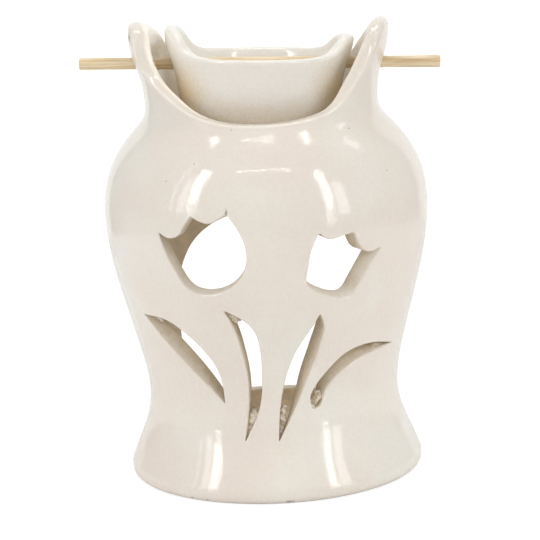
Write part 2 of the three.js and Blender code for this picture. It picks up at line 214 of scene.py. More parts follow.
def readyLoop(outer, inner, mean, softening, rounding, start=None):
    # Resamples a pair of lines and turns them so that the clay is on their right. A rim has a start, which
    # is the angle where the flat drawing begins, and an opening has none.
    wrap = 0.0 if start is None else 2 * math.pi * mean
    places = evenPlaces(outer, fineGap, wrap)
    outer, inner = pick(outer, places, wrap), pick(inner, places, wrap)
    if softening:
        outer, inner = soften(outer, softening, wrap), soften(inner, softening, wrap)
    ahead = np.roll(outer, -1, axis=0)
    if not wrap and np.sum(outer[:, 0] * ahead[:, 1] - outer[:, 1] * ahead[:, 0]) < 0:
        outer, inner = outer[::-1], inner[::-1]
    places = closerInBends(outer, shellFineness["edgeGap"], wrap)
    outer, inner = pick(outer, places, wrap), pick(inner, places, wrap)
    bend = {side: np.broadcast_to(radius(outer[:, 0] / mean, outer[:, 1]) if callable(radius) else radius,
                                  len(outer)).astype(float) for side, radius in rounding.items()}
    if wrap:
        begin = start * mean
        outer, inner = (np.c_[(line[:, 0] - begin) % wrap + begin, line[:, 1]] for line in (outer, inner))
        order = np.argsort(outer[:, 0])
        outer, inner = outer[order], inner[order]
        bend = {side: radius[order] for side, radius in bend.items()}
    return {"outer": outer, "inner": inner, "rounding": bend, "wrap": wrap}


def aside(line, wrap):
    # The direction along a loop and the direction into the clay, at each of its points.
    along = closedSteps(line, wrap)
    along = along + np.roll(along, 1, axis=0)
    along /= np.hypot(*along.T)[:, None]
    return along, np.c_[along[:, 1], -along[:, 0]]


def flatSkin(shell, side):
    # Points and triangles of one skin.
    wrap = 2 * math.pi * shell["mean"]
    start = shell["start"] * shell["mean"]
    gap, low = shell["gap"][side], shell["low"][side]
    dense, reach, between = [], [], shellFineness["between"]
    for loop in shell["loops"]:
        fine = pick(loop[side], np.arange(0, len(loop[side]), 1 / between), loop["wrap"])
        dense += [fine + (shift, 0) for shift in (0, wrap, -wrap)]
        reach += 3 * [np.repeat(loop["rounding"][side], between)]
    dense, reach = np.vstack(dense), np.concatenate(reach)
    tree = kdtree.KDTree(len(dense))
    for i, (x, y) in enumerate(dense):
        tree.insert((x, y, 0), i)
    tree.balance()

    def nearest(points):
        # How far the nearest edge is from each point, and that edge's radius there.
        found = [tree.find((x, y, 0)) for x, y in points]
        return np.array([f[2] for f in found]), reach[[f[1] for f in found]]

    # A row of the table is arc, up, how far the bend sinks, the direction it sinks in, cut and near.
    table, rims, chains = [], [], []
    count = 0
    taken = set()
    bends = [(1 - math.sin(math.radians(a)), 1 - math.cos(math.radians(a)), a / 90)
             for a in shellFineness["bendSteps"]]
    rows = bends + [(out, 0, 0) for out in shellFineness["easeOut"]]
    for loop in shell["loops"]:
        line, radius = loop[side], loop["rounding"][side]
        along, away = aside(line, loop["wrap"])
        toOther = loop["across"] if side == "outer" else -loop["across"]
        for n, (out, down, share) in enumerate(rows):
            row = line + away * (out * radius)[:, None]
            row += along * (0.02 * n)  # a little out of line, so that no four points make a rectangle
            keep = np.ones(len(row), bool)
            if n:
                keep = nearest(row)[0] > shellFineness["crowding"] * out * radius
                for i in np.flatnonzero(keep):
                    cell = (*np.round(row[i] / shellFineness["cell"]).astype(int), n)
                    keep[i] = cell not in taken
                    taken.add(cell)
            else:
                rims.append(np.arange(count, count + len(row)))
                chains.append((rims[-1], loop["wrap"]))
            table.append(np.c_[row, down * radius, toOther, np.full(len(row), share), out * radius][keep])
            count += len(table[-1])
    columns = round(wrap / gap)
    xs = start + np.arange(columns) * wrap / columns
    lowRow = np.arange(count, count + columns)
    chains.append((lowRow, wrap))
    top = max(loop[side][:, 1].max() for loop in shell["loops"])
    rowGap = gap * math.sqrt(3) / 2
    grid = np.vstack([np.c_[xs + (n % 2) * wrap / columns / 2, np.full(columns, low + n * rowGap)]
                      for n in range(int((top - low) / rowGap) + 1)])
    distance, radius = nearest(grid)
    keep = distance > shellFineness["easeOut"][-1] * radius + shellFineness["clear"] * gap
    keep[:columns] = True
    table.append(np.c_[grid, np.zeros((len(grid), 5)), distance][keep])
    table = np.vstack(table)
    flat, sink, pull, cut, near = table[:, :2], table[:, 2], table[:, 3:6], table[:, 6], table[:, 7]

    # The drawing is repeated a little past both ends, so that it closes round the pot without a seam.
    margin = shellFineness["margin"]
    home = np.arange(len(flat))
    right = home[flat[:, 0] < start + margin]
    left = home[flat[:, 0] > start + wrap - margin]
    toRight = dict(zip(right, len(flat) + np.arange(len(right))))
    toLeft = dict(zip(left, len(flat) + len(right) + np.arange(len(left))))
    drawn = np.vstack([flat, flat[right] + (wrap, 0), flat[left] - (wrap, 0)])
    home = np.concatenate([home, right, left])
    lines = []
    for chain, step in chains:
        pairs = list(zip(chain, np.roll(chain, -1)))
        last = pairs.pop() if step else None
        lines += pairs
        for copies in (toRight, toLeft):
            lines += [(copies[a], copies[b]) for a, b in pairs if a in copies and b in copies]
        if last:
            lines += [(last[0], toRight[last[1]]), (toLeft[last[0]], last[1])]
    lines = [(int(a), int(b)) for a, b in lines]
    points, _, triangles, origins, _, _ = delaunay_2d_cdt(
        [Vector(p) for p in drawn], lines, [], 0, 1e-5)
    if len(points) != len(drawn):
        print("note: the", side, "skin of", shell["name"], "has", len(points) - len(drawn), "extra points")
    origins = np.array([o[0] for o in origins])
    triangles = origins[np.array(triangles)]
    middle = drawn[triangles].mean(axis=1)
    first = start + 0.21 * gap  # no triangle's middle lies on this line
    keep = (middle[:, 0] >= first) & (middle[:, 0] < first + wrap) & (middle[:, 1] > low)
    for loop in shell["loops"]:
        line = loop[side]
        if loop["wrap"]:
            x = np.concatenate([line[:, 0] - wrap, line[:, 0], line[:, 0] + wrap])
            keep &= middle[:, 1] < np.interp(middle[:, 0], x, np.tile(line[:, 1], 3))
        else:
            keep &= ~insideLoop(middle, line)
    triangles = home[triangles[keep]]
    place = shell[side](flat[:, 0] / shell["mean"], flat[:, 1]) + pull * sink[:, None]
    depth = sink / shell["wall"] if side == "outer" else 1 - sink / shell["wall"]
    return {"place": place, "faces": triangles, "rims": rims, "low": lowRow, "angles": xs / shell["mean"],
            "values": (cut, depth, near)}


def shellMesh(shell):
    for loop in shell["loops"]:
        a = shell["outer"](loop["outer"][:, 0] / shell["mean"], loop["outer"][:, 1])
        b = shell["inner"](loop["inner"][:, 0] / shell["mean"], loop["inner"][:, 1])
        loop["across"] = (b - a) / np.linalg.norm(b - a, axis=1)[:, None]
    skins = {side: flatSkin(shell, side) for side in ("outer", "inner")}
    place, faces, offset = [], [], {}
    values = {"cutFace": [], "wallDepth": [], "edgeDistance": []}

    def join(points, *amounts):
        # Adds points with one amount for each of the values, and says which numbers they have.
        first = sum(map(len, place))
        place.append(points)
        for kept, amount in zip(values.values(), amounts):
            kept.append(np.broadcast_to(amount, len(points)))
        return np.arange(first, first + len(points))

    for side, skin in skins.items():
        offset[side] = join(skin["place"], *skin["values"])[0]
        order = skin["faces"] if side == "outer" else skin["faces"][:, ::-1]
        faces += (order + offset[side]).tolist()

    # Cut faces between the two skins.
    for number, loop in enumerate(shell["loops"]):
        rims = {side: skins[side]["rims"][number] for side in skins}
        ends = {side: skins[side]["place"][rims[side]] for side in skins}
        deep = {side: skins[side]["values"][1][rims[side]] for side in skins}
        _, away = aside(loop["outer"], loop["wrap"])
        angle = loop["outer"][:, 0] / shell["mean"]
        into = np.stack([away[:, 0] * np.cos(angle), away[:, 0] * np.sin(angle), away[:, 1]], axis=-1)
        rows = [rims["outer"] + offset["outer"]]
        for n in range(1, shellFineness["cutRows"]):
            share = n / shellFineness["cutRows"]
            row = ends["outer"] * (1 - share) + ends["inner"] * share
            ripples = [ripple(row, size, seed) * high for size, seed, high in shellFineness["cutRipples"]]
            uneven = sum(ripples)
            rows.append(join(row + into * (uneven * shell["roughCut"])[:, None], 1.0,
                             deep["outer"] * (1 - share) + deep["inner"] * share, onCut))
        rows.append(rims["inner"] + offset["inner"])
        for upper, lower in zip(rows, rows[1:]):
            faces += np.stack([upper, np.roll(upper, -1), np.roll(lower, -1), lower], axis=1).tolist()

    # Turned rows below the two skins, each closed at the axis.
    for side, skin in skins.items():
        above = skin["low"] + offset[side]
        for radius, height in shell["turnedRows"][side]:
            row = turned(radius, skin["angles"], height)
            below = join(row if radius else row[:1], 0.0, 0.0 if side == "outer" else 1.0, farAway)
            if radius:
                band = [below, np.roll(below, -1), np.roll(above, -1), above]
            else:
                band = [np.full(len(above), below[0]), np.roll(above, -1), above]
            band = np.stack(band, axis=1)
            faces += (band if side == "outer" else band[:, ::-1]).tolist()
            above = below

    place = np.vstack(place)
    values = {name: np.minimum(np.concatenate(value), farAway) for name, value in values.items()}
    used = np.unique(np.concatenate([np.ravel(f) for f in faces]))
    renumber = np.full(len(place), -1)
    renumber[used] = np.arange(len(used))
    faces = [[int(renumber[i]) for i in f] for f in faces]
    return place[used], faces, {name: value[used] for name, value in values.items()}


def newPiece(name, place, faces, values, material):
    mesh = bpy.data.meshes.new(name)
    mesh.from_pydata((np.asarray(place) * mm).tolist(), [], faces)
    for key, value in values.items():
        layer = mesh.attributes.new(key, "FLOAT", "POINT")
        layer.data.foreach_set("value", np.asarray(value, np.float32))
    mesh.polygons.foreach_set("use_smooth", [True] * len(mesh.polygons))
    mesh.materials.append(material)
    mesh.update()
    return newObject(name, mesh)


# Materials

def tone(red, green, blue):
    # A colour as it is seen on screen, for a shader.
    def linear(value):
        value /= 255
        return value / 12.92 if value <= 0.04045 else ((value + 0.055) / 1.055) ** 2.4
    return linear(red), linear(green), linear(blue), 1.0


def plug(tree, socket, value):
    if isinstance(value, bpy.types.NodeSocket):
        tree.links.new(value, socket)
    else:
        socket.default_value = value


def add(tree, kind, inputs=None, **settings):
    node = tree.nodes.new(kind)
    for key, value in settings.items():
        setattr(node, key, value)
    for key, value in (inputs or {}).items():
        plug(tree, node.inputs[key], value)
    return node


def made(tree, kind, inputs=None, **settings):
    # The first output of a new node.
    return add(tree, kind, inputs, **settings).outputs[0]


def attribute(tree, name):
    return add(tree, "ShaderNodeAttribute", attribute_name=name).outputs["Fac"]


def axis(tree, direction, number):
    return add(tree, "ShaderNodeSeparateXYZ", {0: direction}).outputs[number]


def vector(tree, x=0.0, y=0.0, z=0.0):
    return made(tree, "ShaderNodeCombineXYZ", {0: x, 1: y, 2: z})


def scaled(tree, direction, amount):
    return made(tree, "ShaderNodeVectorMath", {0: direction, "Scale": amount}, operation="SCALE")


def sums(tree, how, *values):
    return made(tree, "ShaderNodeMath", dict(enumerate(values)), operation=how)


def times(tree, first, second):
    return sums(tree, "MULTIPLY", first, second)


def steps(tree, value, fromLow, fromHigh, toLow=0.0, toHigh=1.0):
    return made(tree, "ShaderNodeMapRange", {0: value, 1: fromLow, 2: fromHigh, 3: toLow, 4: toHigh},
                interpolation_type="SMOOTHSTEP")


def blendTone(tree, share, first, second, how="MIX"):
    inputs = {0: share, 6: first, 7: second}
    return add(tree, "ShaderNodeMix", inputs, data_type="RGBA", blend_type=how).outputs[2]


def mottle(tree, where, size, detail=3.0, rough=0.55):
    # Noise whose blotches are about so many millimetres across.
    return add(tree, "ShaderNodeTexNoise",
               {"Vector": where, "Scale": 1000 / size, "Detail": detail, "Roughness": rough}).outputs["Fac"]


def patchy(tree, where, size, *limits, detail=3.0, rough=0.55):
    # The same noise, spread from its first two limits to the next two.
    return steps(tree, mottle(tree, where, size, detail, rough), *limits)


def scattered(tree, where, scale, channel, least, near, far, strength):
    # Spots in those cells whose random colour is at least so strong.
    cells = add(tree, "ShaderNodeTexVoronoi", {"Vector": where, "Scale": scale}).outputs
    chance = add(tree, "ShaderNodeSeparateColor", {0: cells["Color"]}).outputs[channel]
    return times(tree, steps(tree, cells["Distance"], near, far, strength, 0.0),
                 steps(tree, chance, least, least + 0.01))


def bump(tree, strength, distance, height, under=None):
    inputs = {"Strength": strength, "Distance": distance, "Height": height}
    if under:
        inputs["Normal"] = under
    return made(tree, "ShaderNodeBump", inputs)


def newMaterial(name):
    material = bpy.data.materials.new(name)
    material.use_nodes = True
    tree = material.node_tree
    shader = tree.nodes["Principled BSDF"]
    where = add(tree, "ShaderNodeTexCoord").outputs["Object"]
    return material, tree, shader, where


glazeLooks = {
    "cream": tone(229, 221, 210),
    "pinkish": tone(227, 216, 205),
    "greenish": tone(228, 227, 217),
    "thinGlaze": tone(222, 210, 191),
    # painted shade on the bowl's outside, where the collar shades it
    "gapShadeTone": tone(218, 194, 156),
    "collarInsideLight": tone(254, 246, 232),
    "insideWall": tone(246, 232, 206),
    "cutOutside": tone(228, 217, 200),
    "cutInside": tone(212, 196, 169),
    "cutLitAbove": tone(242, 235, 224),  # painted light: cut faces that look up are painted lighter, as if lit from above
    "grit": tone(172, 150, 118),
    "speck": tone(96, 70, 48),
    "bowlTint": (1.09, 1.14, 1.17, 1),  # the bowl's glaze is lighter and cooler by these factors
    "shine": 0.07,  # roughness of the glaze
    "peel": 0.05,  # how strongly the fine unevenness of the glaze shows
    # Heights in millimetres over which the pot's glaze changes, and where painted light and painted shade
    # begin and end.
    "rawInsideEnds": (106, 118),
    "rawCutsEnd": (104, 114),  # the collar's cut face is glazed over
    "cutLightHeights": (58, 68),
    "collarLit": (114, 124),
    "shadeInHorns": (136.5, 139),
    "shadeInHornsEnds": (143.5, 145.5),
}


def rawClay(tree, where, depth, colour):
    # Raw clay inside the pot and on its cut faces, with painted light and shade: the new colour and how
    # matt it is.
    looks = glazeLooks
    height = axis(tree, where, 2)

    def change(name, toLow=0.0, toHigh=1.0, value=height):
        low, high = looks[name]
        return steps(tree, value, low * mm, high * mm, toLow, toHigh)

    # Painted light: the top of the collar's inner wall is painted lighter, more on the left, as if lit in
    # the gap beside the bowl.
    lit = times(tree, steps(tree, depth, 0.5, 0.8), change("collarLit"))
    lit = times(tree, lit, steps(tree, axis(tree, where, 0), -0.02, 0.02, 1.0, 0.2))
    colour = blendTone(tree, lit, colour, looks["collarInsideLight"])
    uneven = sums(tree, "ADD", height, patchy(tree, where, 7, 0.2, 0.8, -0.003, 0.003))
    bare = change("rawInsideEnds", 1.0, 0.0, uneven)
    # Painted shade: a band inside the horns, below their tops, is painted in the raw clay's tone where the
    # bowl's ears shade it.
    thin = times(tree, change("shadeInHorns"), change("shadeInHornsEnds", 1.0, 0.0))
    thin = times(tree, thin, patchy(tree, where, 2.6, 0.3, 0.6, 0.35, 0.85))
    inside = times(tree, steps(tree, depth, 0.75, 0.98), sums(tree, "MAXIMUM", bare, thin))
    clouds = patchy(tree, where, 5, 0.3, 0.75, detail=5, rough=0.65)
    clay = blendTone(tree, clouds, looks["insideWall"], looks["cutOutside"])
    colour = blendTone(tree, inside, colour, clay)

    across = sums(tree, "ADD", depth, patchy(tree, where, 2.4, 0.3, 0.7, -0.18, 0.18, detail=4))
    cut = blendTone(tree, steps(tree, across, 0.15, 0.95), looks["cutOutside"], looks["cutInside"])
    grains = patchy(tree, where, 0.55, 0.35, 0.65, rough=0.7)
    cut = blendTone(tree, times(tree, grains, 0.3), cut, looks["grit"])
    # Painted light: cut faces that look up, and more so higher up, are painted lighter.
    facingUp = axis(tree, add(tree, "ShaderNodeTexCoord").outputs["Normal"], 2)
    litAbove = times(tree, steps(tree, facingUp, 0.15, 0.75), change("cutLightHeights", 0.1, 0.8))
    cut = blendTone(tree, litAbove, cut, looks["cutLitAbove"])
    isCut = steps(tree, attribute(tree, "cutFace"), 0.45, 0.98)
    isCut = times(tree, isCut, change("rawCutsEnd", 1.0, 0.0))
    return blendTone(tree, isCut, colour, cut), sums(tree, "MAXIMUM", inside, isCut)


def glazeMaterial(name, isPot):
    material, tree, shader, where = newMaterial(name)
    looks = glazeLooks

    # Glaze: warm and cool clouds, a little thinner along the edges.
    clouds = patchy(tree, where, 46, 0.35, 0.65)
    patches = patchy(tree, where, 30, 0.45, 0.7, rough=0.5)
    colour = blendTone(tree, clouds, looks["pinkish"], looks["cream"])
    colour = blendTone(tree, times(tree, patches, 0.6), colour, looks["greenish"])
    thin = times(tree, steps(tree, attribute(tree, "edgeDistance"), 0.2, 1.3, 1.0, 0.0),
                 patchy(tree, where, 3.2, 0.4, 0.8, 0.0, 0.35, detail=4))
    colour = blendTone(tree, thin, colour, looks["thinGlaze"])
    if isPot:
        colour, matt = rawClay(tree, where, attribute(tree, "wallDepth"), colour)
    else:
        # Painted shade: the bowl's outside is painted tan below its ears and towards its bottom, with
        # ragged streaks.
        streaks = patchy(tree, where, 1.0, 0.25, 0.75, -0.22, 0.22, detail=4, rough=0.65)
        share = steps(tree, sums(tree, "ADD", attribute(tree, "gapShade"), streaks), 0.0, 1.15)
        colour = blendTone(tree, share, colour, looks["gapShadeTone"])
        colour = blendTone(tree, 1.0, colour, looks["bowlTint"], "MULTIPLY")
        matt = 0.0
    fine = patchy(tree, where, 1.1, 0.35, 0.65, 0.98, 1.01, detail=2)
    colour = blendTone(tree, 1.0, colour, fine, "MULTIPLY")

    for x, y, z, wide, tall, strength in potMarks if isPot else ():
        offset = made(tree, "ShaderNodeVectorMath", {0: where, 1: (x * mm, y * mm, z * mm)},
                      operation="SUBTRACT")
        shrunk = made(tree, "ShaderNodeVectorMath",
                      {0: offset, 1: (1000 / wide, 1000 / wide, 1000 / tall)}, operation="MULTIPLY")
        length = add(tree, "ShaderNodeVectorMath", {0: shrunk}, operation="LENGTH").outputs["Value"]
        ragged = sums(tree, "ADD", length, patchy(tree, where, 0.7, 0.3, 0.7, -0.35, 0.35))
        colour = blendTone(tree, steps(tree, ragged, 0.6, 1.1, strength, 0.0), colour, looks["speck"])
    specks = scattered(tree, where, 75.0, 0, 0.86, 0.018, 0.034, 1.0)
    colour = blendTone(tree, times(tree, specks, 0.75), colour, looks["speck"])
    plug(tree, shader.inputs["Base Color"], colour)

    # Gloss, and the fine unevenness of the surface.
    gloss = patchy(tree, where, 6, 0.3, 0.7, looks["shine"] - 0.03, looks["shine"] + 0.04)
    plug(tree, shader.inputs["Roughness"], sums(tree, "ADD", gloss, times(tree, matt, 0.55)))
    shader.inputs["IOR"].default_value = 1.5
    surface = bump(tree, looks["peel"], 0.0006, mottle(tree, where, 1.4, 2))
    surface = bump(tree, 0.5, 0.0001, scattered(tree, where, 420.0, 1, 0.9, 0.02, 0.09, -1.0), surface)
    surface = bump(tree, times(tree, matt, 0.8), 0.0003, mottle(tree, where, 0.7, 4, 0.7), surface)
    plug(tree, shader.inputs["Normal"], surface)
    return material


# Specks, a crack over the left flower, a chip on the left horn and bare spots at the foot: the middle of
# each in millimetres, its half width and half height, and how dark it is.
potMarks = [
    (-31.1, -41.0, 105.2, 0.3, 0.3, 0.8), (-21.9, -43.4, 110.5, 0.3, 0.3, 0.8),
    (38.9, -34.1, 104.5, 0.35, 0.3, 0.8), (27.4, -31.9, 118.2, 0.3, 0.3, 0.7),
    (11.2, -51.7, 75.5, 0.28, 0.28, 0.7), (-9.9, -39.2, 120.1, 0.3, 0.3, 0.5),
    (-12.5, -52.4, 96.0, 0.4, 1.3, 0.6), (-42.6, -8.4, 147.9, 1.6, 1.2, 0.9),
    (3.4, -49.2, 0.9, 1.5, 0.35, 0.55), (-28.3, -40.5, 1.0, 0.7, 0.35, 0.5),
    (-23.3, -43.5, 1.0, 0.5, 0.3, 0.5), (17.0, 46.2, 1.0, 1.2, 0.4, 0.5), (-44.0, 20.0, 1.1, 0.9, 0.4, 0.5),
]
potGlaze = glazeMaterial("potGlaze", isPot=True)
bowlGlaze = glazeMaterial("bowlGlaze", isPot=False)
print("glazes done")


# Pot

pot = {
    "wall": 5.2,
    "footRadius": 49.6, "footHeight": 4.0,
    "waistRadius": 42.4, "waistHeight": 27.0,
    "bellyRadius": 54.42, "bellyHeight": 91.0,
    "neckRadius": 39.1, "neckHeight": 125.5,
    "hornRadius": 43.3, "hornHeight": 152.6, "rightHornDrop": 1.3,
    "frontScoop": 121.2, "backScoop": 121.8,
    "floorHeight": 9.1, "floorFillet": 2.9,
    "footRecess": 2.6, "footRingWidth": 6.3, "footRounding": 2.4,
    "doorWidth": 79.6, "doorAside": 2.6, "doorSill": 15.8, "doorShoulder": 46.0, "doorTop": 80.4,
    "doorSquareness": 2.5,  # 2 is an elliptic arch, and more is squarer
    "knifeLean": 2.0,
    "edgeRounding": 0.6, "insideRounding": 0.5,
    "collarRounding": 0.95, "hornRounding": 2.3,
    "hornTop": (142, 9),  # the height where the horns' rounding begins, and over how much it grows
    "leftLip": 1.5,  # extra thickness inside the top of the left horn
    "lipTop": (138, 10),  # likewise for the lip
    "unevenness": 0.3,
}
stick = {
    "diameter": 4.0, "overhang": 16.7, "belowTip": 15.1, "tilt": 2.1,
    "short": 0.05,  # how much each end lies inside the solid's end
    "holeDiameter": 5.2, "seatGap": 0.3, "chamfer": 0.3,
    "flare": 0.07,  # how much thicker the right end is, as a share
    "flareFrom": (0.955, 0.995),  # shares of the length between which it grows
    "endShare": 0.86,  # how wide the flat of an end is inside its chamfer
    "fibreDepth": 0.16, "rings": 170, "sides": 30,
    "wood": (tone(217, 190, 146), tone(245, 230, 200)),
    "streak": tone(193, 156, 102),
    "cutEnd": (tone(150, 116, 74), tone(214, 190, 148)),
}
stickHeight = pot["hornHeight"] - stick["belowTip"]
tilt = math.radians(stick["tilt"])
holeRadius = stick["holeDiameter"] / 2
holeTurn = np.linspace(0, 2 * math.pi, 80, endpoint=False)
seat = holeRadius - stick["diameter"] / 2 - stick["seatGap"]  # between the stick's middle and a hole's


def shareLine(low, high, shares):
    return [(low[0] + (high[0] - low[0]) * across, low[1] + (high[1] - low[1]) * up)
            for up, across in shares]


def potProfile():
    foot, waist = (pot["footRadius"], pot["footHeight"]), (pot["waistRadius"], pot["waistHeight"])
    belly, neck = (pot["bellyRadius"], pot["bellyHeight"]), (pot["neckRadius"], pot["neckHeight"])
    horn = (pot["hornRadius"], pot["hornHeight"])
    points = [foot, *shareLine(foot, waist, [(0.26, 0.32), (0.65, 0.81)]),
              waist, *shareLine(waist, belly, [(0.22, 0.15), (0.41, 0.415), (0.73, 0.84)]),
              belly, *shareLine(belly, neck, [(0.29, 0.095), (0.61, 0.45), (0.77, 0.765), (0.91, 0.985)]),
              neck, *shareLine(neck, horn, [(0.35, 0.3), (0.65, 0.9), (0.93, 1)]),
              horn, (pot["hornRadius"], pot["hornHeight"] + pot["wall"])]
    line = smoothLine(points, 3000)
    line[:, 0] = np.minimum(line[:, 0], pot["bellyRadius"])
    return line


profile = potProfile()
profileUp = np.r_[0, np.cumsum(np.hypot(*np.diff(profile, axis=0).T))]  # length along the outside
profileSlope = np.gradient(profile, profileUp, axis=0)
innerProfile = profile - pot["wall"] * np.c_[profileSlope[:, 1], -profileSlope[:, 0]]


def pointAt(line, up):
    # Radius and height of the outer or the inner profile, from the length along the outside.
    return np.interp(up, profileUp, line[:, 0]), np.interp(up, profileUp, line[:, 1])


def potOutside(angle, up):
    radius, height = pointAt(profile, up)
    return turned(radius, angle, height)


def leftward(angle):
    return ramp(-np.sin(angle), 0.2, 0.6)


def potInside(angle, up):
    # The left horn's top is a thicker, rounder lip.
    radius, height = pointAt(innerProfile, up)
    high, left = ramp(height, *pot["lipTop"]), leftward(angle)
    lip = pot["leftLip"] * (3 - 2 * high) * high ** 2 * (3 - 2 * left) * left ** 2
    return turned(radius - lip, angle, height)


def upAt(line, height):
    return np.interp(height, line[:, 1], profileUp)


def radiusAt(line, height):
    return np.interp(height, line[:, 1], line[:, 0])


potMean = 48.0  # mm; angles times this radius are the lengths round the pot on the flat drawing
potStart = math.radians(-257)  # where the flat drawing begins, clear of every opening
potRounding = {"outer": pot["edgeRounding"], "inner": pot["insideRounding"]}


def levelCut(angle, height):
    # A cut that runs level and towards the axis: the same angle and height on both skins.
    arc = np.asarray(angle) * potMean
    return np.c_[arc, upAt(profile, height)], np.c_[arc, upAt(innerProfile, height)]


def rimLine(points, mean, count):
    # A smooth closed rim through points given as (degrees, height).
    arcPerDegree = math.radians(1) * mean
    return smoothLine([(angle * arcPerDegree, height) for angle, height in points], count,
                      (2 * math.pi * mean, 0))


def collarLoop():
    leftTip, rightTip = pot["hornHeight"], pot["hornHeight"] - pot["rightHornDrop"]

    def rise(shares, low, high):
        return [(angle, low + (high - low) * share) for angle, share in shares]

    points = [
        (-180, pot["backScoop"]),
        *rise([(-150, 0.07), (-138, 0.21), (-130, 0.4), (-125, 0.58), (-121, 0.74), (-116, 0.87),
               (-107, 0.96), (-95, 1)], pot["backScoop"], leftTip),
        *rise([(-84, 0.99), (-76, 0.9), (-71.5, 0.66), (-68, 0.5), (-61, 0.38), (-51, 0.27), (-42, 0.165),
               (-32, 0.08), (-20, 0.022), (-4, 0)], pot["frontScoop"], leftTip),
        *rise([(14, 0.01), (26, 0.045), (36, 0.1), (43.5, 0.2), (50, 0.35), (55.5, 0.48), (59, 0.61),
               (63, 0.8), (69, 0.94), (84, 1)], pot["frontScoop"], rightTip),
        *rise([(98, 0.97), (108, 0.86), (115, 0.72), (119.5, 0.59), (125, 0.4), (134, 0.21),
               (148, 0.07)], pot["backScoop"], rightTip),
    ]
    line = rimLine(points, potMean, 2400)
    angle, height = line[:, 0] / potMean, np.minimum(line[:, 1], pot["hornHeight"])
    outer, inner = levelCut(angle, height)

    def rounding(angle, up, extra=0.0):
        share = ramp(pointAt(profile, up)[1], *pot["hornTop"])
        growth = pot["hornRounding"] - pot["collarRounding"] + extra * leftward(angle)
        return pot["collarRounding"] + growth * share

    def insideRounding(angle, up):
        return rounding(angle, up, 0.9 * pot["leftLip"])

    bends = {"outer": rounding, "inner": insideRounding}
    return readyLoop(outer, inner, potMean, 0.3, bends, potStart)


def windowLoop(outline, insideOutline):
    def flat(points):
        x, z = np.array(points, float).T
        return np.c_[np.arcsin(x / radiusAt(profile, z)) * potMean, upAt(profile, z)]

    return readyLoop(flat(outline), flat(insideOutline), potMean, 0.32, potRounding)


def flowerOutline(points):
    # Smooth between the points marked as a corner.
    corners = [i for i, point in enumerate(points) if len(point) == 3]
    line = []
    for n, first in enumerate(corners):
        last = corners[n + 1] if n + 1 < len(corners) else corners[0] + len(points)
        run = [points[i % len(points)][:2] for i in range(first, last + 1)]
        line += smoothLine(run, 24 * (last - first))[:-1].tolist()
    return np.array(line)


def leafOutline(inner, outer):
    return np.array(smoothLine(inner, 160).tolist() + smoothLine(outer, 160)[::-1][1:-1].tolist())


def leanFlower(outline, leanLeft, leanRight, leanBottom):
    # The left side, the right side and the bottom each lean towards the flower's middle.
    low, high = outline.min(axis=0), outline.max(axis=0)
    across = (outline[:, 0] - low[0]) / (high[0] - low[0])
    x = outline[:, 0] + leanLeft * (1 - across) - leanRight * across
    z = outline[:, 1] + leanBottom * (high[1] - outline[:, 1]) / (high[1] - low[1])
    return np.c_[x, z]


def leanLeaf(inner, outer, leanX, leanZ):
    count = len(outer) - 1
    moved = [(x + leanX * math.sin(math.pi * i / count), z + leanZ * math.sin(math.pi * i / count))
             for i, (x, z) in enumerate(outer)]
    return leafOutline(inner, moved)


# Openings in the front wall as (x, z) on its outer surface.
openings = {
    "leftFlower": [
        (-34.4, 89.0, "corner"), (-31.9, 87.4), (-28.9, 87.9), (-26.3, 91.3), (-23.9, 94.6, "corner"),
        (-21.4, 93.2), (-18.4, 92.5), (-15.6, 93.6), (-12.6, 95.4, "corner"), (-9.3, 90.2), (-7.0, 83.6),
        (-7.4, 78.6), (-10.6, 73.2), (-15.6, 70.1), (-20.8, 69.2), (-25.4, 70.4), (-29.2, 75.4),
        (-32.6, 82.4)],
    "rightFlower": [
        (16.4, 88.0, "corner"), (19.2, 85.8), (23.0, 86.2), (27.4, 87.1, "corner"), (28.4, 84.2),
        (30.1, 81.2), (32.6, 79.8), (35.8, 80.7, "corner"), (31.6, 74.4), (28.2, 69.4), (25.4, 66.2),
        (21.0, 66.2), (16.2, 68.2), (12.0, 71.6), (12.4, 77.0), (13.6, 82.6)],
    "leafFarLeft": (
        [(-41.6, 59.3), (-34.8, 59.2), (-28.6, 55.7), (-22.6, 49.9), (-18.4, 43.6), (-16.3, 31.6)],
        [(-41.6, 59.3), (-34.6, 51.0), (-28.9, 44.8), (-23.3, 39.1), (-16.3, 31.6)]),
    "leafNearLeft": (
        [(-15.0, 63.8), (-10.0, 61.2), (-6.2, 57.6), (-4.1, 50.6), (-3.8, 41.9), (-4.9, 31), (-10.2, 19.6)],
        [(-15.0, 63.8), (-12.0, 57.5), (-9.8, 49.4), (-8.5, 41.9), (-8.4, 32.0), (-10.2, 19.6)]),
    "leafNearRight": (
        [(15.6, 61.2), (13.0, 57.0), (9.1, 51.6), (5.4, 44.5), (3.2, 37.5), (1.6, 29.0), (0.8, 19.4)],
        [(15.6, 61.2), (16.8, 57.6), (15.9, 52.4), (13.9, 46.6), (10.9, 39.6), (8.2, 33.0), (0.8, 19.4)]),
    "leafFarRight": (
        [(39.4, 45.5), (33.8, 47.7), (27.8, 47.8), (22.8, 45.9), (18.6, 42.4), (14.2, 37.6), (11.6, 32),
         (12.4, 28.8)],
        [(39.4, 45.5), (34.6, 45.2), (28.7, 43.8), (22.9, 40.8), (18.6, 37.2), (15.8, 32.6), (14.6, 29.6),
         (12.4, 28.8)]),
}


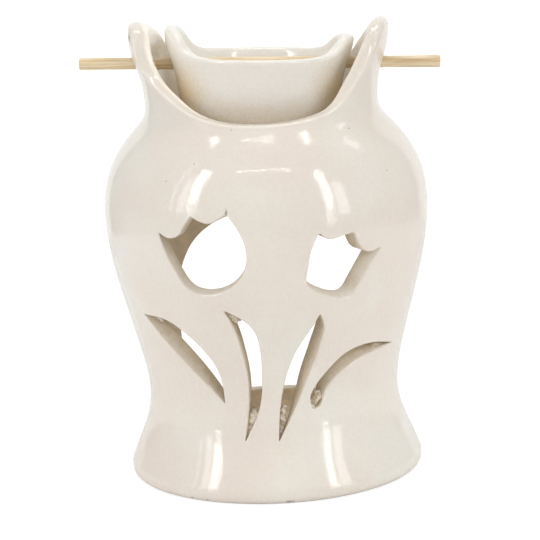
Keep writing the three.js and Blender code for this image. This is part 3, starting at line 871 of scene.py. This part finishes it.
def windowLoops():
    lean = pot["knifeLean"]
    left, right = flowerOutline(openings["leftFlower"]), flowerOutline(openings["rightFlower"])
    leans = {"leafFarLeft": (lean / 2, lean / 2), "leafNearLeft": (0, 0), "leafNearRight": (-lean, 0),
             "leafFarRight": (-lean / 2, lean * 0.7)}
    loops = [windowLoop(left, leanFlower(left, -lean / 2, 0, 0)),
             windowLoop(right, leanFlower(right, 0, lean, lean / 2))]
    for name, (leanX, leanZ) in leans.items():
        inner, outer = openings[name]
        loops.append(windowLoop(leafOutline(inner, outer), leanLeaf(inner, outer, leanX, leanZ)))
    return loops


def doorLoop():
    half = pot["doorWidth"] / 2
    t = np.linspace(0, math.pi, 160)
    squared = 2 / pot["doorSquareness"]
    across = half * np.sign(np.cos(t)) * np.abs(np.cos(t)) ** squared
    up = pot["doorShoulder"] + (pot["doorTop"] - pot["doorShoulder"]) * np.abs(np.sin(t)) ** squared
    arch = list(zip(across, up))
    rows = np.linspace(pot["doorShoulder"], pot["doorSill"], 40)[1:]
    sill = [(at, pot["doorSill"]) for at in np.linspace(-half, half, 60)[1:-1]]
    sides = [[(side * half, row) for row in rows] for side in (-1, 1)]
    x, z = np.array(arch + sides[0] + sill + sides[1][::-1]).T
    angle = -math.pi + (x - pot["doorAside"]) / (radiusAt(profile, z) - pot["wall"])
    outer, inner = levelCut(angle, z)
    return readyLoop(outer, inner, potMean, 0.6, potRounding)


def hornHole(side):
    # side is -1 on the left and 1 on the right. The stick lies low in its hole.
    y = holeRadius * np.cos(holeTurn)
    loops = []
    for line in (profile, innerProfile):
        x = side * pot["hornRadius"]
        for _ in range(6):
            z = stickHeight - x * math.tan(tilt) + (seat + holeRadius * np.sin(holeTurn)) / math.cos(tilt)
            x = side * np.sqrt(radiusAt(line, z) ** 2 - y ** 2)
        loops.append(np.c_[np.arctan2(x, -y) * potMean, upAt(line, z)])
    return readyLoop(*loops, potMean, 0, potRounding)


def potFootRows():
    # From the two skins down to the axis.
    ringOutside = pot["footRadius"] - pot["footRounding"]
    ringInside = ringOutside - pot["footRingWidth"]
    rows = [(radiusAt(profile, z), z) for z in (10.8, 9.4, 8.0, 6.6, 5.2, 4.0)]
    rows += [(pot["footRadius"], 3.2)]
    rows += [(ringOutside + pot["footRounding"] * math.cos(t), pot["footRounding"] * (1 - math.sin(t)))
             for t in np.radians([0, 15, 30, 45, 60, 75, 90])]
    rows += [(ringOutside - 1.6, 0)]
    rows += [(ringInside - inward, up) for inward, up in (
        (-1.6, 0), (-0.4, 0.05), (0.1, 0.3), (0.5, 1.0), (0.9, 1.9), (1.4, 2.4), (2.2, pot["footRecess"]))]
    rows += [(radius, pot["footRecess"]) for radius in (34, 28, 21, 14, 8, 3, 0)]
    fillet = pot["floorFillet"]
    top = pot["floorHeight"] + fillet
    reach = radiusAt(innerProfile, top)
    inner = [(reach - fillet * (1 - math.cos(t)), top - fillet * math.sin(t))
             for t in np.radians([15, 30, 45, 60, 75, 90])]
    inner += [((reach - fillet) * share, pot["floorHeight"])
              for share in (0.95, 0.8, 0.64, 0.48, 0.32, 0.16, 0)]
    return {"outer": rows, "inner": inner}


def unevenPot(place):
    # Slip-cast clay is never quite round: it dries a little inwards, more in some places.
    angle, radius = np.arctan2(place[:, 0], -place[:, 1]), np.hypot(place[:, 0], place[:, 1])
    z = place[:, 2]
    wave = 0.5 + 0.26 * np.sin(2 * angle + 0.7 + z / 31) + 0.24 * np.sin(3 * angle - 1.1 - z / 19)
    fine = 0.5 + 0.5 * ripple(place, 15, 3.3)
    shrink = pot["unevenness"] * (0.75 * wave + 0.25 * fine)
    shrink *= ramp(z, 0, 12) * ramp(radius, 6, 30)
    factor = 1 - shrink / np.maximum(radius, 1)
    return np.c_[place[:, 0] * factor, place[:, 1] * factor, z]


def makePot():
    shell = {
        "name": "pot", "mean": potMean, "start": potStart, "wall": pot["wall"],
        "outer": potOutside, "inner": potInside,
        "low": {"outer": float(upAt(profile, 12.2)), "inner": float(upAt(innerProfile, 12.0))},
        "gap": {"outer": 1.6, "inner": 2.2},
        "loops": [collarLoop(), *windowLoops(), doorLoop(), hornHole(-1), hornHole(1)],
        "turnedRows": potFootRows(), "roughCut": 1.0,
    }
    place, faces, values = shellMesh(shell)
    return newPiece("potBody", unevenPot(place), faces, values, potGlaze)


potBody = makePot()
print("pot done:", len(potBody.data.polygons), "faces")


# Oil bowl

bowl = {
    "wall": 4.0, "clearance": 3.7, "rimHeight": 3.0,
    "earFlare": 1.0, "earFlareRise": 4.0, "leftEar": 12.6, "rightEar": 9.4,
    "depth": 34.0, "footRadius": 13.0, "floor": 4.5,
    "rimRounding": 1.15, "earRounding": 1.75,
    "holeRounding": {"outer": 0.55, "inner": 0.5},
    "shadeBelow": 0.6, "shadeBeside": 1.1,  # how strongly painted shade, a warm tan, lies at the bottom and below the ears
}
bowlRim = pot["neckRadius"] - pot["wall"] - bowl["clearance"]
bowlMean = 29.0  # mm, as potMean
bowlStart = math.radians(-200)


def bowlLines():
    under, inBottom = -bowl["depth"], bowl["floor"] - bowl["depth"]
    top = max(bowl["leftEar"], bowl["rightEar"]) + bowl["wall"]

    def side(shares, radius, bottom):
        return [(across * radius, bottom + (bowl["rimHeight"] - bottom) * up) for up, across in shares]

    def ears(inset):
        ear = bowlRim + bowl["earFlare"] - inset
        return [(bowlRim - inset, bowl["rimHeight"]), (ear, bowl["rimHeight"] + bowl["earFlareRise"]),
                (ear, top)]

    outside = smoothLine([(bowl["footRadius"], under), *side(
        [(0.22, 0.69), (0.43, 0.83), (0.7, 0.905), (0.88, 0.95)], bowlRim, under), *ears(0)], 600)
    inside = smoothLine([*side(
        [(0, 0.3), (0.12, 0.6), (0.37, 0.8), (0.68, 0.895), (0.87, 0.945)], bowlRim - bowl["wall"],
        inBottom), *ears(bowl["wall"])], 600)
    return outside, inside


bowlOutside, bowlInside = bowlLines()


def bowlSkin(line):
    return lambda angle, height: turned(radiusAt(line, height), angle, height)


def bowlRimLoop():
    shares = [(10, 0.99), (22, 0.86), (29, 0.62), (34, 0.33), (41, 0.13), (54, 0.02), (66, 0)]

    def ear(middle, tip):
        edge = [(middle - angle, share) for angle, share in shares[::-1]] + [(middle, 1)]
        edge += [(middle + angle, share) for angle, share in shares]
        return [(angle, bowl["rimHeight"] + (tip - bowl["rimHeight"]) * share) for angle, share in edge]

    points = [(-180, bowl["rimHeight"]), *ear(-90, bowl["leftEar"]), (0, bowl["rimHeight"]),
              *ear(90, bowl["rightEar"])]
    line = rimLine(points, bowlMean, 1800)

    def rounding(_, height):
        return bowl["rimRounding"] + (bowl["earRounding"] - bowl["rimRounding"]) * ramp(height, 6, 3)

    return readyLoop(line, line.copy(), bowlMean, 0.25, {"outer": rounding, "inner": rounding}, bowlStart)


def earHole(side):
    height, y = holeRadius * np.sin(holeTurn) - seat, holeRadius * np.cos(holeTurn)
    loops = []
    for line in (bowlOutside, bowlInside):
        x = side * np.sqrt(radiusAt(line, height) ** 2 - y ** 2)
        loops.append(np.c_[np.arctan2(x, -y) * bowlMean, height])
    return readyLoop(*loops, bowlMean, 0, bowl["holeRounding"])


def bowlTurnedRows():
    under, inBottom = -bowl["depth"], bowl["floor"] - bowl["depth"]
    outer = [(radiusAt(bowlOutside, z), z) for z in np.linspace(-9.2, under + 1.6, 22)]
    reach = outer[-1][0]
    outer += [(reach - inward, under + up) for inward, up in (
        (0.9, 0.7), (1.9, 0.2), (3, 0), (5.4, 0), (6, 0.3), (7, 0.5))]
    outer += [(4, under + 0.5), (0, under + 0.5)]
    inner = [(radiusAt(bowlInside, z), z) for z in np.linspace(-9.2, inBottom + 0.15, 26)]
    reach = inner[-1][0]
    inner += [(reach * share, inBottom + 0.15 - 0.15 * (1 - share)) for share in (0.8, 0.6, 0.4, 0.2)]
    inner += [(0, inBottom)]
    return {"outer": outer, "inner": inner}


def hungOnStick(place):
    # From the stick's own line to its place: tilted, and up at the horns.
    x, y, z = place.T
    return np.c_[x * math.cos(tilt) + z * math.sin(tilt), y,
                 z * math.cos(tilt) - x * math.sin(tilt) + stickHeight]


def makeBowl():
    shell = {
        "name": "bowl", "mean": bowlMean, "start": bowlStart, "wall": bowl["wall"],
        "outer": bowlSkin(bowlOutside), "inner": bowlSkin(bowlInside),
        "low": {"outer": -8.2, "inner": -8.2}, "gap": {"outer": 1.25, "inner": 1.35},
        "loops": [bowlRimLoop(), earHole(-1), earHole(1)],
        "turnedRows": bowlTurnedRows(), "roughCut": 0.3,
    }
    place, faces, values = shellMesh(shell)
    # Painted shade: towards its bottom and below its ears, where the collar shades it, the outside is
    # painted a darker, warmer tan.
    low = bowl["shadeBelow"] * ramp(-place[:, 2], 6, 14)
    beside = bowl["shadeBeside"] * ramp(np.abs(place[:, 0]), 14, 13) * ramp(-place[:, 2], -5, 13)
    values["gapShade"] = np.where(values["wallDepth"] < 0.3, np.maximum(low, beside), 0)
    return newPiece("oilBowl", hungOnStick(place), faces, values, bowlGlaze)


oilBowl = makeBowl()
print("bowl done:", len(oilBowl.data.polygons), "faces")

for piece, body, slot, node in ((potBody, "burner", "burner_glaze", "burner_body"),
                                (oilBowl, "bowl", "bowl_glaze", "oil_bowl")):
    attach(piece, body)
    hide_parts(node)


# Bamboo stick

def bambooMaterial():
    material, tree, shader, _ = newMaterial("bamboo")
    grain = add(tree, "ShaderNodeAttribute", attribute_name="grain").outputs["Vector"]
    stretched = made(tree, "ShaderNodeMapping", {"Vector": grain, "Scale": (0.035, 1, 1)})
    fibres = mottle(tree, stretched, 0.5, 5, 0.6)
    streaks = patchy(tree, stretched, 1.6, 0.42, 0.66)
    colour = blendTone(tree, steps(tree, fibres, 0.3, 0.7), *stick["wood"])
    colour = blendTone(tree, times(tree, streaks, 0.45), colour, stick["streak"])
    pores = add(tree, "ShaderNodeTexVoronoi", {"Vector": grain, "Scale": 3300.0}).outputs["Distance"]
    endTone = blendTone(tree, steps(tree, pores, 0.1, 0.45), *stick["cutEnd"])
    colour = blendTone(tree, attribute(tree, "endGrain"), colour, endTone)
    plug(tree, shader.inputs["Base Color"], colour)
    plug(tree, shader.inputs["Roughness"], steps(tree, fibres, 0.2, 0.8, 0.62, 0.42))
    plug(tree, shader.inputs["Normal"], bump(tree, 0.5, 0.00012, fibres))
    return material


def newTree(name, sizes):
    # A Geometry Nodes tree with one named number for each size.
    tree = bpy.data.node_groups.new(name, "GeometryNodeTree")
    for size, value in sizes.items():
        kind = "NodeSocketInt" if isinstance(value, int) else "NodeSocketFloat"
        tree.interface.new_socket(size, in_out="INPUT", socket_type=kind)
    tree.interface.new_socket("Geometry", in_out="OUTPUT", socket_type="NodeSocketGeometry")
    return tree, tree.nodes.new("NodeGroupInput").outputs


def growPiece(name, tree, sizes):
    # Runs a tree on an empty mesh and keeps the result as a plain mesh.
    holder = newObject(name, bpy.data.meshes.new(name))
    modifier = holder.modifiers.new("grow", "NODES")
    modifier.node_group = tree
    for item in tree.interface.items_tree:
        if item.in_out == "INPUT":
            modifier[item.identifier] = sizes[item.name]
    evaluated = holder.evaluated_get(bpy.context.evaluated_depsgraph_get())
    mesh = bpy.data.meshes.new_from_object(evaluated)
    holder.modifiers.remove(modifier)
    holder.data = mesh
    mesh.name = name
    return holder


def finishTree(tree, geometry, material):
    real = made(tree, "GeometryNodeRealizeInstances", {0: geometry})
    coated = made(tree, "GeometryNodeSetMaterial", {"Geometry": real, "Material": material})
    plug(tree, tree.nodes.new("NodeGroupOutput").inputs[0], coated)


def makeStick():
    sizes = {"Length": 2 * (pot["hornRadius"] + stick["overhang"] - stick["short"]) * mm,
             "Radius": stick["diameter"] / 2 * mm, "Chamfer": stick["chamfer"] * mm,
             "Flare": stick["flare"], "Fibre Depth": stick["fibreDepth"] * mm,
             "Tilt": tilt, "Height": stickHeight * mm, "Rings": stick["rings"], "Sides": stick["sides"]}
    tree, inputs = newTree("bambooStick", sizes)
    half = sums(tree, "SUBTRACT", times(tree, inputs["Length"], 0.5), inputs["Chamfer"])
    line = made(tree, "GeometryNodeCurvePrimitiveLine",
                {"Start": vector(tree, times(tree, half, -1.0)), "End": vector(tree, half)})
    line = made(tree, "GeometryNodeResampleCurve", {"Curve": line, "Count": inputs["Rings"]})
    along = made(tree, "GeometryNodeSplineParameter")
    flare = sums(tree, "ADD", 1.0, times(tree, steps(tree, along, *stick["flareFrom"]), inputs["Flare"]))
    ring = made(tree, "GeometryNodeCurvePrimitiveCircle",
                {"Resolution": inputs["Sides"], "Radius": inputs["Radius"]})
    mesh = made(tree, "GeometryNodeCurveToMesh",
                {"Curve": line, "Profile Curve": ring, "Scale": flare, "Fill Caps": True})
    normal = made(tree, "GeometryNodeInputNormal")
    across = sums(tree, "ABSOLUTE", axis(tree, normal, 0))
    isEnd = sums(tree, "GREATER_THAN", across, 0.9)
    isSide = sums(tree, "LESS_THAN", across, 0.9)
    cap = add(tree, "GeometryNodeExtrudeMesh", {"Mesh": mesh, "Selection": isEnd, "Individual": False,
                                                "Offset Scale": inputs["Chamfer"]}).outputs
    mesh = made(tree, "GeometryNodeScaleElements",
                {"Geometry": cap["Mesh"], "Selection": cap["Top"], "Scale": stick["endShare"]})
    place = made(tree, "GeometryNodeInputPosition")
    for name, value, kind, domain in (("grain", place, "FLOAT_VECTOR", "POINT"),
                                      ("endGrain", isEnd, "FLOAT", "FACE")):
        mesh = made(tree, "GeometryNodeStoreNamedAttribute",
                    {"Geometry": mesh, "Name": name, "Value": value}, data_type=kind, domain=domain)
    for chosen, smooth in ((isSide, True), (isEnd, False)):
        mesh = made(tree, "GeometryNodeSetShadeSmooth",
                    {"Geometry": mesh, "Selection": chosen, "Shade Smooth": smooth})
    stretched = made(tree, "ShaderNodeVectorMath", {0: place, 1: (0.03, 1, 1)}, operation="MULTIPLY")
    fibres = add(tree, "ShaderNodeTexNoise", {"Vector": stretched, "Scale": 1400.0, "Detail": 2.0})
    depth = times(tree, sums(tree, "SUBTRACT", fibres.outputs["Fac"], 0.62), inputs["Fibre Depth"])
    mesh = made(tree, "GeometryNodeSetPosition", {"Geometry": mesh, "Offset": scaled(tree, normal, depth)})
    mesh = made(tree, "GeometryNodeTransform",
                {"Geometry": mesh, "Translation": vector(tree, z=inputs["Height"]),
                 "Rotation": vector(tree, y=inputs["Tilt"])})
    finishTree(tree, mesh, bambooMaterial())
    return growPiece("bambooStick", tree, sizes)


bambooStick = makeStick()
print("stick done:", len(bambooStick.data.polygons), "faces")
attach(bambooStick, "stick")
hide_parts("bamboo_stick")


# Glaze and clay left in the tips of the leaves

crumbs = {
    # The path of each strand as (x, z) on the front wall, its depth below the outside, and its half
    # thickness at the two ends.
    "strands": [
        ([(-10.1, 19.8), (-8.2, 24.0), (-6.8, 29.6)], 3.0, (0.5, 1.75)),
        ([(-15.2, 63.9), (-13.0, 62.0), (-10.4, 60.6)], 2.2, (0.4, 1.0)),
        ([(0.9, 19.5), (2.2, 24.0), (3.0, 30.5)], 3.2, (0.5, 0.9)),
        ([(12.3, 29.0), (13.6, 31.0), (15.4, 34.0)], 2.2, (0.6, 1.25)),
        ([(39.0, 45.7), (36.5, 46.0), (33.6, 46.2)], 2.6, (0.4, 0.8)),
        ([(-41.0, 58.9), (-39.2, 58.3), (-37.4, 57.6)], 3.4, (0.25, 0.5)),
    ],
    "rings": 26, "sides": 18,
    "lumpSize": 1.3, "lumpDepth": 0.55,
    "grains": 1.1,  # how many lie on a square millimetre
    "grainSize": 0.2, "seed": 4,
    "clay": tone(196, 178, 150), "glaze": tone(230, 221, 208), "grit": tone(150, 124, 90),
}


def crumbMaterial():
    material, tree, shader, where = newMaterial("glazeCrumbs")
    clouds = patchy(tree, where, 1.6, 0.42, 0.58)
    colour = blendTone(tree, clouds, crumbs["clay"], crumbs["glaze"])
    gritty = patchy(tree, where, 0.6, 0.55, 0.75, 0.0, 0.5, detail=2)
    plug(tree, shader.inputs["Base Color"], blendTone(tree, gritty, colour, crumbs["grit"]))
    plug(tree, shader.inputs["Roughness"], steps(tree, clouds, 0.0, 1.0, 0.55, 0.1))
    plug(tree, shader.inputs["Normal"], bump(tree, 0.5, 0.0003, mottle(tree, where, 0.8)))
    return material


def inWall(x, z, depth):
    radius = radiusAt(profile, z)
    return [float(v) * mm for v in turned(radius - depth, math.asin(x / radius), z)]


def makeCrumbs():
    sizes = {"Rings": crumbs["rings"], "Sides": crumbs["sides"], "Lump Size": crumbs["lumpSize"] * mm,
             "Lump Depth": crumbs["lumpDepth"] * mm, "Grains": crumbs["grains"] / mm ** 2,
             "Grain Size": crumbs["grainSize"] * mm, "Seed": crumbs["seed"]}
    tree, inputs = newTree("glazeCrumbs", sizes)
    ring = made(tree, "GeometryNodeCurvePrimitiveCircle", {"Resolution": inputs["Sides"], "Radius": 1.0})
    along = made(tree, "GeometryNodeSplineParameter")
    strands = add(tree, "GeometryNodeJoinGeometry")
    for path, depth, (thin, thick) in crumbs["strands"]:
        start, middle, end = (inWall(x, z, depth) for x, z in path)
        line = made(tree, "GeometryNodeCurveQuadraticBezier",
                    {"Start": start, "Middle": middle, "End": end})
        line = made(tree, "GeometryNodeResampleCurve", {"Curve": line, "Count": inputs["Rings"]})
        radius = steps(tree, along, 0.0, 0.85, thin * mm, thick * mm)
        radius = times(tree, radius, steps(tree, along, 0.85, 1.0, 1.0, 0.35))
        sweep = made(tree, "GeometryNodeCurveToMesh",
                     {"Curve": line, "Profile Curve": ring, "Scale": radius, "Fill Caps": True})
        tree.links.new(sweep, strands.inputs[0])
    size = sums(tree, "DIVIDE", 1.0, inputs["Lump Size"])
    lumps = add(tree, "ShaderNodeTexNoise", {"Scale": size, "Detail": 2.0}).outputs["Fac"]
    swell = times(tree, sums(tree, "SUBTRACT", lumps, 0.45), inputs["Lump Depth"])
    push = scaled(tree, made(tree, "GeometryNodeInputNormal"), times(tree, swell, 4.0))
    lumpy = made(tree, "GeometryNodeSetPosition", {"Geometry": strands.outputs[0], "Offset": push})
    spots = made(tree, "GeometryNodeDistributePointsOnFaces",
                 {"Mesh": lumpy, "Density": inputs["Grains"], "Seed": inputs["Seed"]})
    grain = made(tree, "GeometryNodeMeshIcoSphere", {"Radius": inputs["Grain Size"], "Subdivisions": 2})
    scale = add(tree, "FunctionNodeRandomValue", {2: 0.5, 3: 1.9, "Seed": inputs["Seed"]},
                data_type="FLOAT")
    grains = made(tree, "GeometryNodeInstanceOnPoints",
                  {"Points": spots, "Instance": grain, "Scale": scale.outputs[1]})
    both = add(tree, "GeometryNodeJoinGeometry")
    for part in (lumpy, grains):
        tree.links.new(part, both.inputs[0])
    smooth = made(tree, "GeometryNodeSetShadeSmooth", {"Geometry": both.outputs[0]})
    finishTree(tree, smooth, crumbMaterial())
    return growPiece("glazeCrumbs", tree, sizes)


glazeCrumbs = makeCrumbs()
print("crumbs done:", len(glazeCrumbs.data.polygons), "faces")
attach(glazeCrumbs, "burner")


# Light and floor

light = {
    # How bright the room and the backdrop are, first as light and then as the glaze shows them.
    "room": (0.48, 0.42),
    "backdrop": (1.4, 1.0),
    "edgeSoftness": (0.2, 0.01),  # of the backdrop's edges, in the same order
    "backdropEdges": (-1.48, 1.07),  # slopes of the backdrop's left and right edge, seen from above
    "middle": (0.0, 0.0, 0.07), "distance": 1.1,  # where all lamps aim and how far they are, in metres
    # Lamps that only the glaze shows: azimuth and elevation of the middle, width and height in degrees,
    # and brightness.
    "mirrored": [
        (-52.2, 29.5, 7.5, 33, 9.0), (-60.5, 20.0, 5.5, 31, 3.2),
        (44.0, 22.5, 6.0, 39, 8.0), (54.0, 14.0, 8.0, 28, 3.6),
        (-69.0, 28.0, 1.6, 44, 3.0), (-84.0, 65.6, 6.0, 3.8, 9.0),
        (73.0, 67.5, 3.6, 5.0, 9.0), (102.0, 47.0, 6.0, 9.0, 2.4),
        (0.0, 49.8, 33.0, 1.5, 9.0), (-12.0, 78.4, 16.0, 1.3, 9.0), (-3.0, 23.5, 18.0, 0.9, 3.0),
        (0.0, 97.0, 34.0, 9.0, 8.0),
    ],
    # Small lamps in staggered rows at the low end of a long one: azimuth of the middle, elevation of the
    # top row, lamps in a row, rows, degrees between lamps, size in degrees, brightness.
    "dotted": [(-52.2, 10.8, 3, 4, 2.5, 1.4, 14.0), (44.0, 0.6, 3, 3, 2.3, 1.3, 14.0)],
    # Soft lamps that the glaze doesn't show: azimuth, elevation, size in metres and brightness.
    "soft": [(-56, 26, 0.8, 2.3), (53, 26, 0.8, 2.3), (-85, 62, 0.4, 2.0), (80, 62, 0.4, 2.0)],
    "tableRadius": 0.42, "tableSides": 96,
    "table": 0.88,  # how light the table top is
    "tableSeen": (0.35, 0.75),  # as the camera sees it: how much it shades, and how much it glows
}


def makeLamp(azimuth, elevation, width, height, brightness, seen):
    # A lamp facing the pot. If seen is true, it only makes reflections, and otherwise it makes none.
    lampData = bpy.data.lights.new("lamp", "AREA")
    lampData.shape = "RECTANGLE"
    lampData.size, lampData.size_y = width, height
    lampData.energy = brightness * math.pi * width * height
    lamp = newObject("lamp", lampData)
    turn, rise = math.radians(azimuth), math.radians(elevation)
    away = Vector((math.sin(turn) * math.cos(rise), -math.cos(turn) * math.cos(rise), math.sin(rise)))
    right = Vector((math.cos(turn), math.sin(turn), 0))
    facing = Matrix((right, away.cross(right), away)).transposed().to_4x4()
    lamp.matrix_world = Matrix.Translation(Vector(light["middle"]) + away * light["distance"]) @ facing
    lamp.visible_camera = False
    lamp.visible_glossy, lamp.visible_diffuse = seen, not seen


def makeLamps():
    reach = 2 * light["distance"]
    for azimuth, elevation, width, height, brightness in light["mirrored"]:
        wide, high = (reach * math.tan(math.radians(angle / 2)) for angle in (width, height))
        makeLamp(azimuth, elevation, wide, high, brightness, True)
    for azimuth, elevation, across, rows, gap, size, brightness in light["dotted"]:
        side = reach * math.tan(math.radians(size / 2))
        # The rows are 1.2 gaps apart, and every second row is half a gap aside.
        for row in range(rows):
            for n in range(across):
                shift = (n - across / 2 + 0.25 + 0.5 * (row % 2)) * gap
                makeLamp(azimuth + shift, elevation - 1.2 * gap * row, side, side, brightness, True)
    for azimuth, elevation, size, brightness in light["soft"]:
        makeLamp(azimuth, elevation, size, size, brightness, False)


def makeWorld():
    # A bright backdrop behind the pot and a dimmer room beside and in front of it. The camera sees white.
    world = bpy.data.worlds.new("studio")
    scene.world = world
    world.use_nodes = True
    tree = world.node_tree
    tree.nodes.clear()
    rays = add(tree, "ShaderNodeLightPath").outputs
    direction = add(tree, "ShaderNodeTexCoord").outputs["Generated"]
    x, y, _ = add(tree, "ShaderNodeSeparateXYZ", {0: direction}).outputs
    side = sums(tree, "MAXIMUM", *(times(tree, x, slope) for slope in light["backdropEdges"]))
    behind = sums(tree, "SUBTRACT", y, side)
    kinds = zip(light["edgeSoftness"], light["room"], light["backdrop"])
    shed, seen = (steps(tree, behind, -soft, soft, room, backdrop) for soft, room, backdrop in kinds)
    mirrored = sums(tree, "MAXIMUM", rays["Is Glossy Ray"], rays["Is Transmission Ray"])
    shown = made(tree, "ShaderNodeMix", {0: mirrored, 2: shed, 3: seen})
    strength = sums(tree, "MAXIMUM", shown, rays["Is Camera Ray"])
    background = made(tree, "ShaderNodeBackground", {"Color": (1, 1, 1, 1), "Strength": strength})
    add(tree, "ShaderNodeOutputWorld", {"Surface": background})


def makeFloor():
    # A round white table top. Seen straight it is white, but for the pot's shadow.
    sides, (shade, glow) = light["tableSides"], light["tableSeen"]
    ring = [(light["tableRadius"] * math.cos(t), light["tableRadius"] * math.sin(t), 0)
            for t in np.linspace(0, 2 * math.pi, sides, endpoint=False)]
    mesh = bpy.data.meshes.new("floor")
    mesh.from_pydata(ring, [], [tuple(range(sides))])
    floor = newObject("floor", mesh)
    material = bpy.data.materials.new("floor")
    material.use_nodes = True
    tree = material.node_tree
    tree.nodes.clear()
    plain, shaded = (made(tree, "ShaderNodeBsdfDiffuse", {"Color": (grey, grey, grey, 1)})
                     for grey in (light["table"], shade))
    glowing = made(tree, "ShaderNodeEmission", {"Color": (1, 1, 1, 1), "Strength": glow})
    white = made(tree, "ShaderNodeAddShader", {0: shaded, 1: glowing})
    straight = add(tree, "ShaderNodeLightPath").outputs["Is Camera Ray"]
    both = made(tree, "ShaderNodeMixShader", {0: straight, 1: plain, 2: white})
    add(tree, "ShaderNodeOutputMaterial", {"Surface": both})
    mesh.materials.append(material)


makeLamps()
makeWorld()
makeFloor()
scene.view_settings.view_transform = "Standard"
print("light done")
